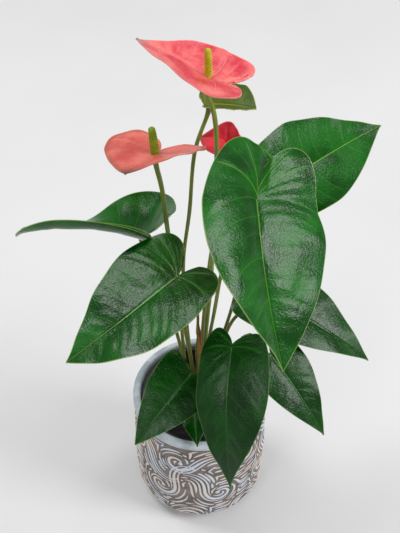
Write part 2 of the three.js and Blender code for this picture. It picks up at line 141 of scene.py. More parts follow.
def new_group(name, inputs, outputs):
    """A shader node group. inputs is {name: default}, and outputs lists the names of its results."""
    group = bpy.data.node_groups.new(name, "ShaderNodeTree")
    for key, default in inputs.items():
        kind = "NodeSocketColor" if isinstance(default, tuple) else "NodeSocketFloat"
        group.interface.new_socket(name=key, in_out="INPUT", socket_type=kind).default_value = default
    for key in outputs:
        kind = "NodeSocketColor" if key == "Color" else "NodeSocketFloat"
        group.interface.new_socket(name=key, in_out="OUTPUT", socket_type=kind)
    return group, group.nodes.new("NodeGroupInput").outputs, group.nodes.new("NodeGroupOutput").inputs


def give_results(group, result, sockets):
    for name, socket in sockets.items():
        group.links.new(socket, result[name])
    return group


def use_group(tree, group, inputs):
    return add_node(tree, "ShaderNodeGroup", inputs, node_tree=group).outputs


def new_material(name, **shader_values):
    material = bpy.data.materials.new(name)
    material.use_nodes = True
    tree = material.node_tree
    shader = tree.nodes["Principled BSDF"]
    for key, value in shader_values.items():
        shader.inputs[key.replace("_", " ").title().replace("Ior", "IOR")].default_value = value
    return material, tree, shader


def add_bump(tree, shader, height, distance):
    bump = add_node(tree, "ShaderNodeBump", {"Height": height, "Distance": distance, "Strength": 1.0})
    tree.links.new(bump.outputs["Normal"], shader.inputs["Normal"])


def object_place(tree):
    return add_node(tree, "ShaderNodeTexCoord").outputs["Object"]


def read_attribute(tree, name):
    return add_node(tree, "ShaderNodeAttribute", attribute_name=name).outputs["Fac"]


# ---------------------------------------------------------------- effects shared by the finishes

def make_vein_group():
    """Veins, midrib and margin of a leaf or spathe, from the distances kept on its mesh in metres."""
    group, given, result = new_group("vein_marks", {
        "Vein Width": 0.4 * MM, "Halo Width": 3 * MM, "Midrib Width": 0.9 * MM, "Margin Width": 0.6 * MM,
    }, ("Vein", "Halo", "Midrib", "Margin"))
    turn = read_attribute(group, "vein_turn")
    gap = read_attribute(group, "vein_gap")
    middle = read_attribute(group, "from_midrib")
    edge = read_attribute(group, "from_margin")
    whole_turns = math_node(group, "FRACT", math_node(group, "ADD", turn, 0.5))
    off_vein = math_node(group, "ABSOLUTE", math_node(group, "SUBTRACT", whole_turns, 0.5))
    distance = times(group, off_vein, gap)
    inside = fall_off(group, edge, 1 * MM, 9 * MM, 0.0, 1.0)
    inner = times(group, inside, read_attribute(group, "vein_strength"))
    vein = fall_off(group, math_node(group, "DIVIDE", distance, given["Vein Width"]), 0.4, 1.3)
    halo = fall_off(group, math_node(group, "DIVIDE", distance, given["Halo Width"]), 0.1, 1.0)
    return give_results(group, result, {
        "Vein": times(group, vein, inner),
        "Halo": times(group, halo, inner),
        "Midrib": fall_off(group, math_node(group, "DIVIDE", middle, given["Midrib Width"]), 0.5, 1.2),
        "Margin": fall_off(group, math_node(group, "DIVIDE", edge, given["Margin Width"]), 0.5, 1.3),
    })


def make_mottle_group():
    """A colour that wanders between two shades in broad clouds and fine grain."""
    group, given, result = new_group("mottled_colour", {
        "Dark": (0, 0, 0, 1), "Light": (1, 1, 1, 1), "Cloud Scale": 40.0, "Grain Scale": 600.0, "Grain": 0.3,
    }, ("Color", "Cloud", "Grain"))
    place = object_place(group)
    cloud = noise_value(group, place, given["Cloud Scale"], 3)
    grain = noise_value(group, place, given["Grain Scale"], 3, 0.6)
    wide = fall_off(group, cloud, 0.32, 0.68, 0.0, 1.0)
    fine = times(group, math_node(group, "SUBTRACT", grain, 0.5), times(group, given["Grain"], 2))
    share = math_node(group, "ADD", wide, fine, clamp=True)
    colour = blend_colours(group, share, given["Dark"], given["Light"])
    return give_results(group, result, {"Color": colour, "Cloud": cloud, "Grain": grain})


def make_pucker_group():
    """The fine puckered skin of a leaf: shallow cells with a finer grain over them."""
    group, given, result = new_group("puckered_skin", {
        "Cell Scale": 420.0, "Grain Scale": 1500.0, "Grain Share": 0.35,
    }, ("Height",))
    place = object_place(group)
    cells = add_node(group, "ShaderNodeTexVoronoi", {"Vector": place, "Scale": given["Cell Scale"]},
                     feature="SMOOTH_F1").outputs["Distance"]
    soft = noise_value(group, place, given["Cell Scale"], 2, 0.55)
    grain = noise_value(group, place, given["Grain Scale"], 1)
    body = math_node(group, "SUBTRACT", soft, times(group, cells, 0.6))
    height = math_node(group, "ADD", body, times(group, grain, given["Grain Share"]))
    return give_results(group, result, {"Height": height})


def make_streak_group():
    """Long thin streaks that run up a stem or sheath."""
    group, given, result = new_group("upright_streaks", {"Scale": 900.0, "Stretch": 0.03},
                                     ("Streak", "Freckle"))
    place = object_place(group)
    squeeze = add_node(group, "ShaderNodeCombineXYZ", {"X": 1.0, "Y": 1.0, "Z": given["Stretch"]}).outputs[0]
    long_place = add_node(group, "ShaderNodeVectorMath", {0: place, 1: squeeze}, operation="MULTIPLY")
    streak = noise_value(group, long_place.outputs[0], given["Scale"], 2)
    freckle = noise_value(group, place, given["Scale"], 1)
    return give_results(group, result, {
        "Streak": fall_off(group, streak, 0.35, 0.65, 0.0, 1.0),
        "Freckle": fall_off(group, freckle, 0.62, 0.72, 0.0, 1.0),
    })


VEINS = make_vein_group()
MOTTLE = make_mottle_group()
PUCKERS = make_pucker_group()
STREAKS = make_streak_group()


# ---------------------------------------------------------------- finishes

def mottled(tree, dark, light, cloud_scale, grain_scale, grain):
    return use_group(tree, MOTTLE, {
        "Dark": dark, "Light": light, "Cloud Scale": cloud_scale, "Grain Scale": grain_scale, "Grain": grain,
    })


def vein_marks(tree, vein, halo, midrib, margin):
    """The marks of the veins, with the width of each in millimetres."""
    return use_group(tree, VEINS, {
        "Vein Width": vein * MM,
        "Halo Width": halo * MM,
        "Midrib Width": midrib * MM,
        "Margin Width": margin * MM,
    })


def paint_over(tree, mask, strength, colour, paint):
    """Lays paint over a colour where the mask is on, at that strength."""
    return blend_colours(tree, times(tree, mask, strength), colour, paint)


def set_surface(tree, shader, colour, wear, smoothest, roughest):
    """Gives the shader its colour, and a roughness that wanders with the wear."""
    tree.links.new(colour, shader.inputs["Base Color"])
    tree.links.new(fall_off(tree, wear, 0.3, 0.7, smoothest, roughest), shader.inputs["Roughness"])


def leaf_face(name, dark, light, halo, vein, margin, gloss=0.2):
    material, tree, shader = new_material(name, coat_weight=0.1, coat_roughness=0.14, specular_ior_level=0.28)
    marks = vein_marks(tree, 0.4, 3.2, 0.7, 0.5)
    mottle = mottled(tree, dark, light, 34.0, 420.0, 0.28)
    skin = use_group(tree, PUCKERS, {"Cell Scale": 520.0, "Grain Scale": 1300.0, "Grain Share": 0.5})
    colour = paint_over(tree, marks["Halo"], 0.55, mottle["Color"], halo)
    colour = paint_over(tree, marks["Vein"], 0.55, colour, vein)
    colour = paint_over(tree, marks["Midrib"], 0.85, colour, vein)
    colour = paint_over(tree, marks["Margin"], 0.75, colour, margin)
    set_surface(tree, shader, colour, mottle["Cloud"], gloss - 0.03, gloss + 0.12)
    height = math_node(tree, "SUBTRACT", skin["Height"], times(tree, marks["Vein"], 0.8))
    add_bump(tree, shader, height, 0.3 * MM)
    return material


def leaf_back(name, dark, light, vein):
    material, tree, shader = new_material(name, specular_ior_level=0.35)
    marks = vein_marks(tree, 0.8, 3, 1.6, 0.8)
    mottle = mottled(tree, dark, light, 60.0, 500.0, 0.3)
    ribs = math_node(tree, "MAXIMUM", marks["Vein"], marks["Midrib"])
    colour = paint_over(tree, ribs, 0.8, mottle["Color"], vein)
    set_surface(tree, shader, colour, mottle["Grain"], 0.42, 0.58)
    height = math_node(tree, "ADD", times(tree, ribs, 1.5), mottle["Grain"])
    add_bump(tree, shader, height, 0.25 * MM)
    return material


def spathe_face(name, dark, light, vein, margin, tip, gloss=0.3, rim=0.8):
    material, tree, shader = new_material(name, coat_weight=0.15, coat_roughness=0.25, specular_ior_level=0.4,
                                          subsurface_weight=0.06, subsurface_scale=0.004)
    marks = vein_marks(tree, 0.6, 2.4, 0.8, rim)
    mottle = mottled(tree, dark, light, 48.0, 380.0, 0.35)
    skin = use_group(tree, PUCKERS, {"Cell Scale": 330.0})
    ribs = math_node(tree, "MAXIMUM", marks["Vein"], marks["Midrib"])
    colour = paint_over(tree, ribs, 0.5, mottle["Color"], vein)
    # A band of the margin colour along the edge. On the salmon spathe this wide brown band is painted shade.
    colour = paint_over(tree, marks["Margin"], 0.45, colour, margin)
    near_tip = fall_off(tree, read_attribute(tree, "to_tip"), 3 * MM, 15 * MM, 0.75, 0.0)
    colour = blend_colours(tree, near_tip, colour, tip)
    set_surface(tree, shader, colour, mottle["Cloud"], gloss, gloss + 0.15)
    height = math_node(tree, "SUBTRACT", skin["Height"], ribs)
    add_bump(tree, shader, height, 0.2 * MM)
    return material


def spadix_skin(name, low, high, cap):
    material, tree, shader = new_material(name, specular_ior_level=0.4)
    knob = read_attribute(tree, "knob")
    mottle = mottled(tree, low, high, 160.0, 1400.0, 0.4)
    colour = blend_colours(tree, fall_off(tree, knob, 0.45, 0.95, 0.0, 0.75), mottle["Color"], cap)
    # Painted shade: the hollows between the florets are darkened halfway towards the low colour.
    colour = blend_colours(tree, fall_off(tree, knob, 0.0, 0.3, 0.5, 0.0), colour, low)
    set_surface(tree, shader, colour, mottle["Grain"], 0.42, 0.62)
    add_bump(tree, shader, mottle["Grain"], 0.12 * MM)
    return material


def stem_skin(name, low, high, streak, freckle, brown):
    material, tree, shader = new_material(name, specular_ior_level=0.45, coat_weight=0.15, coat_roughness=0.3)
    lines = use_group(tree, STREAKS, {"Scale": 900.0, "Stretch": 0.03})
    mottle = mottled(tree, low, high, 30.0, 900.0, 0.3)
    colour = paint_over(tree, lines["Streak"], 0.45, mottle["Color"], streak)
    colour = paint_over(tree, lines["Freckle"], 0.4, colour, freckle)
    near_foot = fall_off(tree, read_attribute(tree, "up_stem"), 0.02, 0.14, 0.6, 0.0)
    colour = blend_colours(tree, near_foot, colour, brown)
    set_surface(tree, shader, colour, mottle["Grain"], 0.36, 0.55)
    add_bump(tree, shader, lines["Streak"], 0.1 * MM)
    return material


def sheath_paper():
    material, tree, shader = new_material("sheath_paper", specular_ior_level=0.35)
    lines = use_group(tree, STREAKS, {"Scale": 700.0, "Stretch": 0.02})
    mottle = mottled(tree, shade(120, 66, 22), shade(176, 112, 48), 70.0, 800.0, 0.4)
    green = blend_colours(tree, lines["Streak"], shade(96, 104, 34), shade(140, 138, 62))
    green_side = fall_off(tree, read_attribute(tree, "from_left"), 0.3, 0.62, 1.0, 0.0)
    colour = blend_colours(tree, green_side, mottle["Color"], green)
    colour = paint_over(tree, lines["Streak"], 0.3, colour, shade(70, 42, 18))
    set_surface(tree, shader, colour, mottle["Grain"], 0.5, 0.7)
    add_bump(tree, shader, lines["Streak"], 0.2 * MM)
    return material


def washed_ceramic():
    """Taupe ceramic under a brushed whitewash that stays on the raised scrolls."""
    material, tree, shader = new_material("washed_ceramic", specular_ior_level=0.4)
    relief = read_attribute(tree, "relief")
    band = read_attribute(tree, "band")
    ground = mottled(tree, shade(104, 96, 90), shade(140, 133, 128), 60.0, 900.0, 0.5)
    wash = mottled(tree, shade(228, 212, 200), shade(212, 220, 232), 38.0, 1100.0, 0.25)
    glaze = mottled(tree, shade(164, 176, 184), shade(206, 217, 223), 55.0, 500.0, 0.35)
    foot = times(tree, fall_off(tree, relief, 0.02, 0.12, 0.0, 1.0), fall_off(tree, relief, 0.2, 0.42))
    wear = times(tree, math_node(tree, "SUBTRACT", wash["Grain"], 0.5), 0.5)
    worn = math_node(tree, "ADD", relief, wear)
    colour = paint_over(tree, foot, 0.75, ground["Color"], shade(92, 76, 64))
    colour = blend_colours(tree, fall_off(tree, worn, 0.36, 0.62, 0.0, 1.0), colour, wash["Color"])
    colour = blend_colours(tree, band, colour, glaze["Color"])
    tree.links.new(colour, shader.inputs["Base Color"])
    rough = math_node(tree, "SUBTRACT", fall_off(tree, ground["Grain"], 0.3, 0.7, 0.5, 0.72),
                      times(tree, band, 0.12))
    tree.links.new(rough, shader.inputs["Roughness"])
    height = math_node(tree, "ADD", ground["Grain"], times(tree, wash["Cloud"], 0.6))
    add_bump(tree, shader, height, 0.16 * MM)
    return material


def moulded_plastic():
    material, tree, shader = new_material("moulded_plastic", specular_ior_level=0.5)
    mottle = mottled(tree, shade(26, 26, 28), shade(58, 58, 62), 90.0, 1500.0, 0.5)
    set_surface(tree, shader, mottle["Color"], mottle["Grain"], 0.38, 0.55)
    add_bump(tree, shader, mottle["Grain"], 0.08 * MM)
    return material


def damp_mix(name, dark, light, speck):
    material, tree, shader = new_material(name, specular_ior_level=0.3)
    mottle = mottled(tree, dark, light, 150.0, 900.0, 0.6)
    fleck = fall_off(tree, noise_value(tree, object_place(tree), 1300, 1), 0.68, 0.74, 0.0, 0.7)
    colour = blend_colours(tree, fleck, mottle["Color"], speck)
    set_surface(tree, shader, colour, mottle["Grain"], 0.75, 0.95)
    add_bump(tree, shader, mottle["Grain"], 0.8 * MM)
    return material


PALE_VEIN = shade(120, 168, 62)
LEAF_FACE = leaf_face("leaf_face", shade(0, 64, 0), shade(6, 100, 2), shade(16, 108, 8), PALE_VEIN,
                      shade(140, 176, 84))
# A darker copy of the leaf face for the leaves low on the plant. Its darkness is painted shade from the leaves
# above them.
SHADED_LOW_LEAF_FACE = leaf_face("shaded_low_leaf_face", shade(0, 52, 0), shade(8, 74, 3), shade(14, 84, 8),
                          shade(54, 112, 40), shade(96, 140, 66))
LEAF_BACK = leaf_back("leaf_back", shade(84, 84, 14), shade(124, 118, 40), shade(150, 146, 64))
OLIVE_LEAF = leaf_face("olive_leaf_face", shade(48, 76, 3), shade(76, 102, 12), shade(90, 112, 20),
                       shade(140, 150, 60), shade(180, 186, 110), gloss=0.42)
CORAL = spathe_face("coral_spathe_face", shade(208, 46, 66), shade(240, 122, 118), shade(250, 150, 140),
                    shade(250, 160, 150), shade(176, 140, 128))
# The salmon spathe's wide brown margin (rim 4) is painted shade. It stands for the shaded, lifted edge of its
# lobe.
SALMON = spathe_face("salmon_spathe_face", shade(214, 86, 78), shade(242, 130, 116), shade(206, 138, 104),
                     shade(150, 92, 44), shade(86, 56, 34), rim=4)
RED = spathe_face("red_spathe_face", shade(186, 12, 34), shade(240, 62, 78), shade(240, 104, 120),
                  shade(240, 110, 120), shade(180, 50, 50))
CORAL_BACK = leaf_back("coral_spathe_back", shade(190, 96, 88), shade(214, 124, 108), shade(196, 140, 110))
SALMON_BACK = leaf_back("salmon_spathe_back", shade(128, 84, 50), shade(172, 104, 74), shade(160, 122, 70))
RED_BACK = leaf_back("red_spathe_back", shade(190, 24, 48), shade(226, 60, 84), shade(236, 110, 120))
YELLOW_SPADIX = spadix_skin("yellow_spadix_skin", shade(152, 168, 4), shade(198, 206, 26),
                            shade(226, 226, 86))
GREEN_SPADIX = spadix_skin("green_spadix_skin", shade(92, 132, 12), shade(128, 164, 26),
                           shade(168, 192, 60))
PETIOLE = stem_skin("petiole_skin", shade(96, 112, 12), shade(124, 136, 36), shade(82, 94, 14),
                    shade(150, 142, 84), shade(104, 92, 30))
FLOWER_STEM = stem_skin("flower_stem_skin", shade(98, 122, 14), shade(128, 146, 44), shade(90, 108, 18),
                        shade(150, 152, 90), shade(108, 98, 36))
SHEATH_PAPER = sheath_paper()
CERAMIC = washed_ceramic()
PLASTIC = moulded_plastic()
MIX = damp_mix("damp_potting_mix", shade(9, 7, 8), shade(26, 20, 19), shade(96, 90, 84))
CHIP = damp_mix("bark_chip", shade(16, 12, 11), shade(44, 34, 30), shade(96, 84, 74))
CROWN_BARK = damp_mix("crown_bark", shade(78, 62, 30), shade(120, 104, 58), shade(150, 136, 92))


# ---------------------------------------------------------------- making pieces

def start_mesh(operator, name, **options):
    """Adds one primitive with nothing else selected, and names it."""
    bpy.ops.object.select_all(action="DESELECT")
    operator(**options)
    piece = bpy.context.object
    piece.name = name
    piece.data.name = name
    return piece


def pick(piece):
    bpy.ops.object.select_all(action="DESELECT")
    piece.select_set(True)
    bpy.context.view_layer.objects.active = piece


def vertex_places(mesh):
    places = np.empty(len(mesh.vertices) * 3)
    mesh.vertices.foreach_get("co", places)
    return places.reshape(-1, 3)


def place_vertices(mesh, places):
    mesh.vertices.foreach_set("co", np.asarray(places, dtype=float).ravel())
    mesh.update()


def vertex_normals(mesh):
    normals = np.empty(len(mesh.vertices) * 3)
    mesh.vertices.foreach_get("normal", normals)
    return normals.reshape(-1, 3)


def push_out(mesh, lift):
    """Moves each vertex along its normal, by a lift in millimetres."""
    place_vertices(mesh, vertex_places(mesh) + vertex_normals(mesh) * (lift * MM)[:, None])


def keep_attribute(mesh, name, values):
    attribute = mesh.attributes.new(name, "FLOAT", "POINT")
    attribute.data.foreach_set("value", np.asarray(values, dtype=np.float32))


def apply_modifier(piece, kind, **settings):
    pick(piece)
    modifier = piece.modifiers.new(kind.lower(), kind)
    for name, value in settings.items():
        setattr(modifier, name, value)
    bpy.ops.object.modifier_apply(modifier=modifier.name)


def edit_whole(piece, *steps):
    """Runs each step, an operator and its options, on the whole of a mesh in edit mode."""
    pick(piece)
    bpy.ops.object.mode_set(mode="EDIT")
    bpy.ops.mesh.select_all(action="SELECT")
    for operator, options in steps:
        operator(**options)
    bpy.ops.object.mode_set(mode="OBJECT")


def close_up(piece, distance=0.02 * MM, outward=True):
    """Merges the seam and poles of a turned or rolled mesh, and may turn its faces outwards."""
    steps = [(bpy.ops.mesh.remove_doubles, {"threshold": distance})]
    if outward:
        steps.append((bpy.ops.mesh.normals_make_consistent, {"inside": False}))
    edit_whole(piece, *steps)


def smooth(piece, degrees=50):
    pick(piece)
    bpy.ops.object.shade_smooth_by_angle(angle=math.radians(degrees))


def dress(piece, *materials):
    piece.data.materials.clear()
    for material in materials:
        piece.data.materials.append(material)


def finish_piece(piece, node):
    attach(piece, BODY)
    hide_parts(node)


def rough_field(places, scale, seed):
    """Smooth noise from -1 to 1 at each place."""
    shift = Vector((seed * 3.7, seed * 1.3, seed * 7.1))
    return np.array([noise.noise(Vector(place) * scale + shift) for place in places])


# ---------------------------------------------------------------- leaves and spathes

BASAL_SHARE = 0.42
WIDEST_SHARE = 0.4
VEIN_BEND = 0.34
LOBE_LIFT_EASE = 8
LOBE_LIFT_REACH = 30
COLUMN_EASE = 0.92
SLOPE_STEP = 0.004
STRONG_VEINS = (1, 3)
WIDE_GAP = 9
GROOVE_DEPTH = 0.3
GROOVE_WIDTH = 0.9
MIDRIB_DEPTH = 0.55
MIDRIB_WIDTH = 1.3
BLADE_THICKNESS = 0.7
SPATHE_THICKNESS = 0.9
SHEATH_THICKNESS = 0.8
PETIOLE_RADIUS = 1.7
FLOWER_STEM_RADIUS = 2.0
FOOT_REACH = 14
KNEE_BELOW_BLADE = 6
KNEE_REACH = 7
STRAIGHT_TOP = 7
FLORET_SPIRALS = (8, 13)

SHEET_DEFAULTS = dict(
    lobe_spread=(0.42, 0.42), lobe_round=0.2, lobe_lift=(0, 0), vein_cap=(0.985, 0.985), sinus=3, widest=0.12,
    shoulder=(1, 1), tip_width=(0.2, 0.2), fold=(0.12, 0.12), tip_fold=(0, 0), curl=(-0.25, -0.25),
    tip_curl=(0, 0), skew=0, bow=0, twist=0, droop=0.5, veins=13, wave=1.0, quilt=0.18, rumple=0.5,
)


def above_crown(x, y, height):
    return np.array([AXIS[0] / MM + x, AXIS[1] / MM + y, CROWN_TOP / MM + height])


def beyond_rim(degrees, distance, height):
    angle = math.radians(degrees)
    reach = RIM_RADIUS / MM + distance
    return np.array([
        AXIS[0] / MM + reach * math.cos(angle), AXIS[1] / MM + reach * math.sin(angle), RIM_TOP / MM + height,
    ])


def unit(vector):
    vector = np.asarray(vector, dtype=float)
    return vector / np.linalg.norm(vector)


def bezier(controls, share):
    a, b, c, d = controls
    rest = 1 - share
    return rest ** 3 * a + 3 * rest ** 2 * share * b + 3 * rest * share ** 2 * c + share ** 3 * d


def by_side(values, side):
    return np.where(side == 0, values[0], values[1])


def outline(leaf, length, side, share):
    """The margin of each half in flat leaf coordinates, from the top of the lobe round to the tip."""
    lobe = by_side(leaf["lobe"], side)
    half = by_side(leaf["half_width"], side)
    lobe_across = half * by_side(leaf["lobe_spread"], side)
    widest = length * leaf["widest"]
    lower = share < WIDEST_SHARE
    first = share / WIDEST_SHARE
    second = (share - WIDEST_SHARE) / (1 - WIDEST_SHARE)
    curved = leaf["lobe_round"]
    along = np.where(
        lower, bezier((lobe * (curved - 1), -lobe * (1 + curved), widest - length * 0.28, widest), first),
        bezier((widest, widest + length * 0.34, length * 0.82, length), second),
    )
    shoulder, tip_width = by_side(leaf["shoulder"], side), by_side(leaf["tip_width"], side)
    across = np.where(
        lower, bezier((lobe_across, half * (0.85 - curved * 0.5), half, half), first),
        bezier((half, half * shoulder, half * tip_width, 0), second),
    )
    return along, across


def flat_place(leaf, length, side, row, column):
    """Where a row and column of veins lie in the flat leaf: along the midrib, and across from it."""
    basal = np.minimum(row / BASAL_SHARE, 1)
    forward = np.maximum((row - BASAL_SHARE) / (1 - BASAL_SHARE), 0)
    start = -leaf["sinus"] * (1 - basal) + length * forward
    edge_along, edge_across = outline(leaf, length, side, row)
    reach_along = edge_along - start
    reach = np.hypot(reach_along, edge_across)
    heading = np.arctan2(edge_across, reach_along)
    heading = np.where(heading < -math.pi / 2, heading + 2 * math.pi, heading)
    direction = np.minimum(heading + VEIN_BEND, math.pi * by_side(leaf["vein_cap"], side))
    bend_along = start + 0.5 * reach * np.cos(direction)
    bend_across = 0.5 * reach * np.sin(direction)
    rest = 1 - column
    along = rest ** 2 * start + 2 * rest * column * bend_along + column ** 2 * edge_along
    across = 2 * rest * column * bend_across + column ** 2 * edge_across
    return along, across


def sheet_frame(leaf):
    chord = leaf["tip"] - leaf["base"]
    forward = unit(chord)
    facing = np.array(leaf["facing"], dtype=float)
    facing = unit(facing - forward * facing.dot(forward))
    right = np.cross(forward, facing)
    droop = leaf["droop"] or 1e-4
    length = np.linalg.norm(chord) * droop * 0.5 / math.sin(droop * 0.5)
    return forward, facing, right, droop, length


def sheet_places(leaf, side, along, across):
    """Bends the flat leaf to its shape: the midrib droops, and each half folds and curls about it."""
    forward, facing, right, droop, length = sheet_frame(leaf)
    bend = droop / length
    start_angle = droop / 2
    angle = start_angle - bend * along
    mid_forward = (math.sin(start_angle) - np.sin(angle)) / bend
    mid_facing = (np.cos(angle) - math.cos(start_angle)) / bend
    share = np.clip(along / length, -1, 1)
    fold = by_side(leaf["fold"], side) + by_side(leaf["tip_fold"], side) * np.maximum(share, 0)
    curl = by_side(leaf["curl"], side) + by_side(leaf["tip_curl"], side) * np.maximum(share, 0)
    curl = np.where(np.abs(curl) < 1e-3, 1e-3, curl) / by_side(leaf["half_width"], side)
    outward = (np.sin(fold + curl * across) - np.sin(fold)) / curl
    lift = (np.cos(fold) - np.cos(fold + curl * across)) / curl
    twist = leaf["twist"] * share
    sign = np.where(side == 0, -1, 1)
    behind = np.maximum(-along, 0)
    eased = np.clip(behind / LOBE_LIFT_REACH, 0, 1) * np.clip(across / LOBE_LIFT_EASE, 0, 1)
    lift = lift + by_side(leaf["lobe_lift"], side) * eased
    sweep = leaf["skew"] * behind + leaf["bow"] * np.sin(math.pi * np.clip(share, 0, 1))
    turned_out = sign * outward * np.cos(twist) - lift * np.sin(twist) + sweep
    turned_up = sign * outward * np.sin(twist) + lift * np.cos(twist)
    return (
        leaf["base"]
        + np.outer(mid_forward - turned_up * np.sin(angle), forward)
        + np.outer(mid_facing + turned_up * np.cos(angle), facing)
        + np.outer(turned_out, right)
    )


def soft_step(value, start, end):
    share = np.clip((value - start) / (end - start), 0, 1)
    return share * share * (3 - 2 * share)


def flat_slope(leaf, length, side, row, column, by_row=0, by_column=0):
    """How far along and across the flat place moves for each unit of row, or of column."""
    ahead = flat_place(leaf, length, side, np.clip(row + by_row, 0, 1), np.clip(column + by_column, 0, 1))
    behind = flat_place(leaf, length, side, np.clip(row - by_row, 0, 1), np.clip(column - by_column, 0, 1))
    return [(end - start) / (2 * (by_row + by_column)) for start, end in zip(behind, ahead)]


def vein_run(leaf, side, row, seed):
    """Where each row lies in the count of veins from the stalk, and how strong the nearest vein is."""
    random = np.random.default_rng(seed + 11)
    count = leaf["veins"]
    turns = np.empty(len(row))
    for half in (0, 1):
        stations = (np.arange(count) + 0.55 + random.uniform(-0.16, 0.16, count)) / count
        on_half = side == half
        turns[on_half] = np.interp(row[on_half], stations, np.arange(count), left=-0.5, right=count - 0.5)
    strength = random.uniform(0.1, 0.3, count)
    strength[list(STRONG_VEINS)] = 1
    return turns, strength[np.clip(np.rint(turns), 0, count - 1).astype(int)]


def measure_sheet(leaf, grid, seed):
    """Where each point of the grid lies in the flat leaf, and how far from its veins, midrib and margin."""
    side = np.where(grid[:, 0] < 0, 0, 1)
    column = np.abs(grid[:, 0]) ** COLUMN_EASE
    row = (grid[:, 1] + 1) / 2
    length = sheet_frame(leaf)[4]
    along, across = flat_place(leaf, length, side, row, column)
    row_along, row_across = flat_slope(leaf, length, side, row, column, by_row=SLOPE_STEP)
    out_along, out_across = flat_slope(leaf, length, side, row, column, by_column=SLOPE_STEP)
    spread = np.abs(row_along * out_across - row_across * out_along)
    turns, vein_strength = vein_run(leaf, side, row, seed)
    taper = np.clip(1 - 0.75 * np.clip(along / length, 0, 1), 0.2, 1)
    return {
        "side": side, "row": row, "column": column, "along": along, "across": across,
        "vein_turn": turns,
        "vein_strength": vein_strength,
        "vein_gap": spread / np.maximum(np.hypot(out_along, out_across), 1e-6) / leaf["veins"],
        "from_margin": spread / np.maximum(np.hypot(row_along, row_across), 1e-6) * (1 - column),
        "from_midrib": np.where(along >= 0, across, np.hypot(along, across)) / taper,
        "to_tip": np.hypot(length - along, across),
    }


def sheet_lift(leaf, at, places, seed):
    """How far each point stands off the bent sheet: quilts, vein grooves, the waved margin and rumples."""
    off_vein = np.abs((at["vein_turn"] + 0.5) % 1 - 0.5) * 2
    ease = soft_step(at["from_margin"], 0.5, 12) * soft_step(at["across"], 1, 9)
    gap_share = np.clip(at["vein_gap"] / WIDE_GAP, 0, 1.2)
    vein_groove = np.exp(-(off_vein * at["vein_gap"] / 2 / GROOVE_WIDTH) ** 2)
    wave = np.sin((at["row"] * 4.5 + 0.35 * seed) * 2 * math.pi + at["side"] * 1.9)
    broad = rough_field(places, 45, seed)
    ripple = np.sin(2 * math.pi * (at["vein_turn"] * 1.5 + 0.5 * broad))
    lift = leaf["quilt"] * gap_share * ease * (1 - (1 - off_vein) ** 2)
    lift -= GROOVE_DEPTH * at["vein_strength"] * vein_groove * ease
    lift -= MIDRIB_DEPTH * np.exp(-(at["from_midrib"] / MIDRIB_WIDTH) ** 2)
    lift += leaf["wave"] * (at["column"] ** 3) * wave * soft_step(1 - at["row"], 0.02, 0.25)
    lift += leaf["rumple"] * broad * soft_step(at["across"], 0, 6)
    lift += 0.12 * leaf["rumple"] * ripple * gap_share * ease
    lift += 0.16 * rough_field(places, 150, seed + 3) * ease
    return lift


def shape_sheet(name, leaf, thickness, columns=72, rows=104, seed=0):
    """One blade or spathe: a grid laid along the veins, quilted between them, and given its thickness."""
    piece = start_mesh(bpy.ops.mesh.primitive_grid_add, name, x_subdivisions=columns, y_subdivisions=rows,
                       size=2, calc_uvs=True)
    mesh = piece.data
    grid = vertex_places(mesh)
    at = measure_sheet(leaf, grid, seed)
    place_vertices(mesh, sheet_places(leaf, at["side"], at["along"], at["across"]) * MM)
    push_out(mesh, sheet_lift(leaf, at, vertex_places(mesh), seed))

    for mark in ("vein_turn", "vein_strength"):
        keep_attribute(mesh, mark, at[mark])
    for mark in ("vein_gap", "from_midrib", "from_margin", "to_tip"):
        keep_attribute(mesh, mark, at[mark] * MM)
    keep_attribute(mesh, "from_left", (grid[:, 0] + 1) / 2)
    close_up(piece, 0.01 * MM, outward=False)
    if vertex_normals(mesh).mean(axis=0).dot(sheet_frame(leaf)[1]) < 0:
        edit_whole(piece, (bpy.ops.mesh.flip_normals, {}))
    apply_modifier(piece, "SOLIDIFY", thickness=thickness * MM, offset=-1, use_rim=True, material_offset=1,
                   material_offset_rim=0)
    smooth(piece, 60)
    return piece


def between(first, second, start, end, t):
    """The point between two others that t marks on the way from start to end."""
    return first + (second - first) * (t - start) / (end - start)


def smooth_path(points, per_span=14):
    """A centripetal Catmull-Rom curve through the points."""
    points = [np.asarray(point, dtype=float) for point in points]
    points = [2 * points[0] - points[1], *points, 2 * points[-1] - points[-2]]
    path = []
    for index in range(1, len(points) - 2):
        a, b, c, d = points[index - 1:index + 3]
        knots = [0.0]
        for first, second in ((a, b), (b, c), (c, d)):
            knots.append(knots[-1] + np.linalg.norm(second - first) ** 0.5)
        k0, k1, k2, k3 = knots
        for step in range(per_span):
            t = k1 + (k2 - k1) * step / per_span
            middle = between(b, c, k1, k2, t)
            early = between(between(a, b, k0, k1, t), middle, k0, k2, t)
            late = between(middle, between(c, d, k2, k3, t), k1, k3, t)
            path.append(between(early, late, k1, k2, t))
    path.append(points[-2])
    return np.array(path)


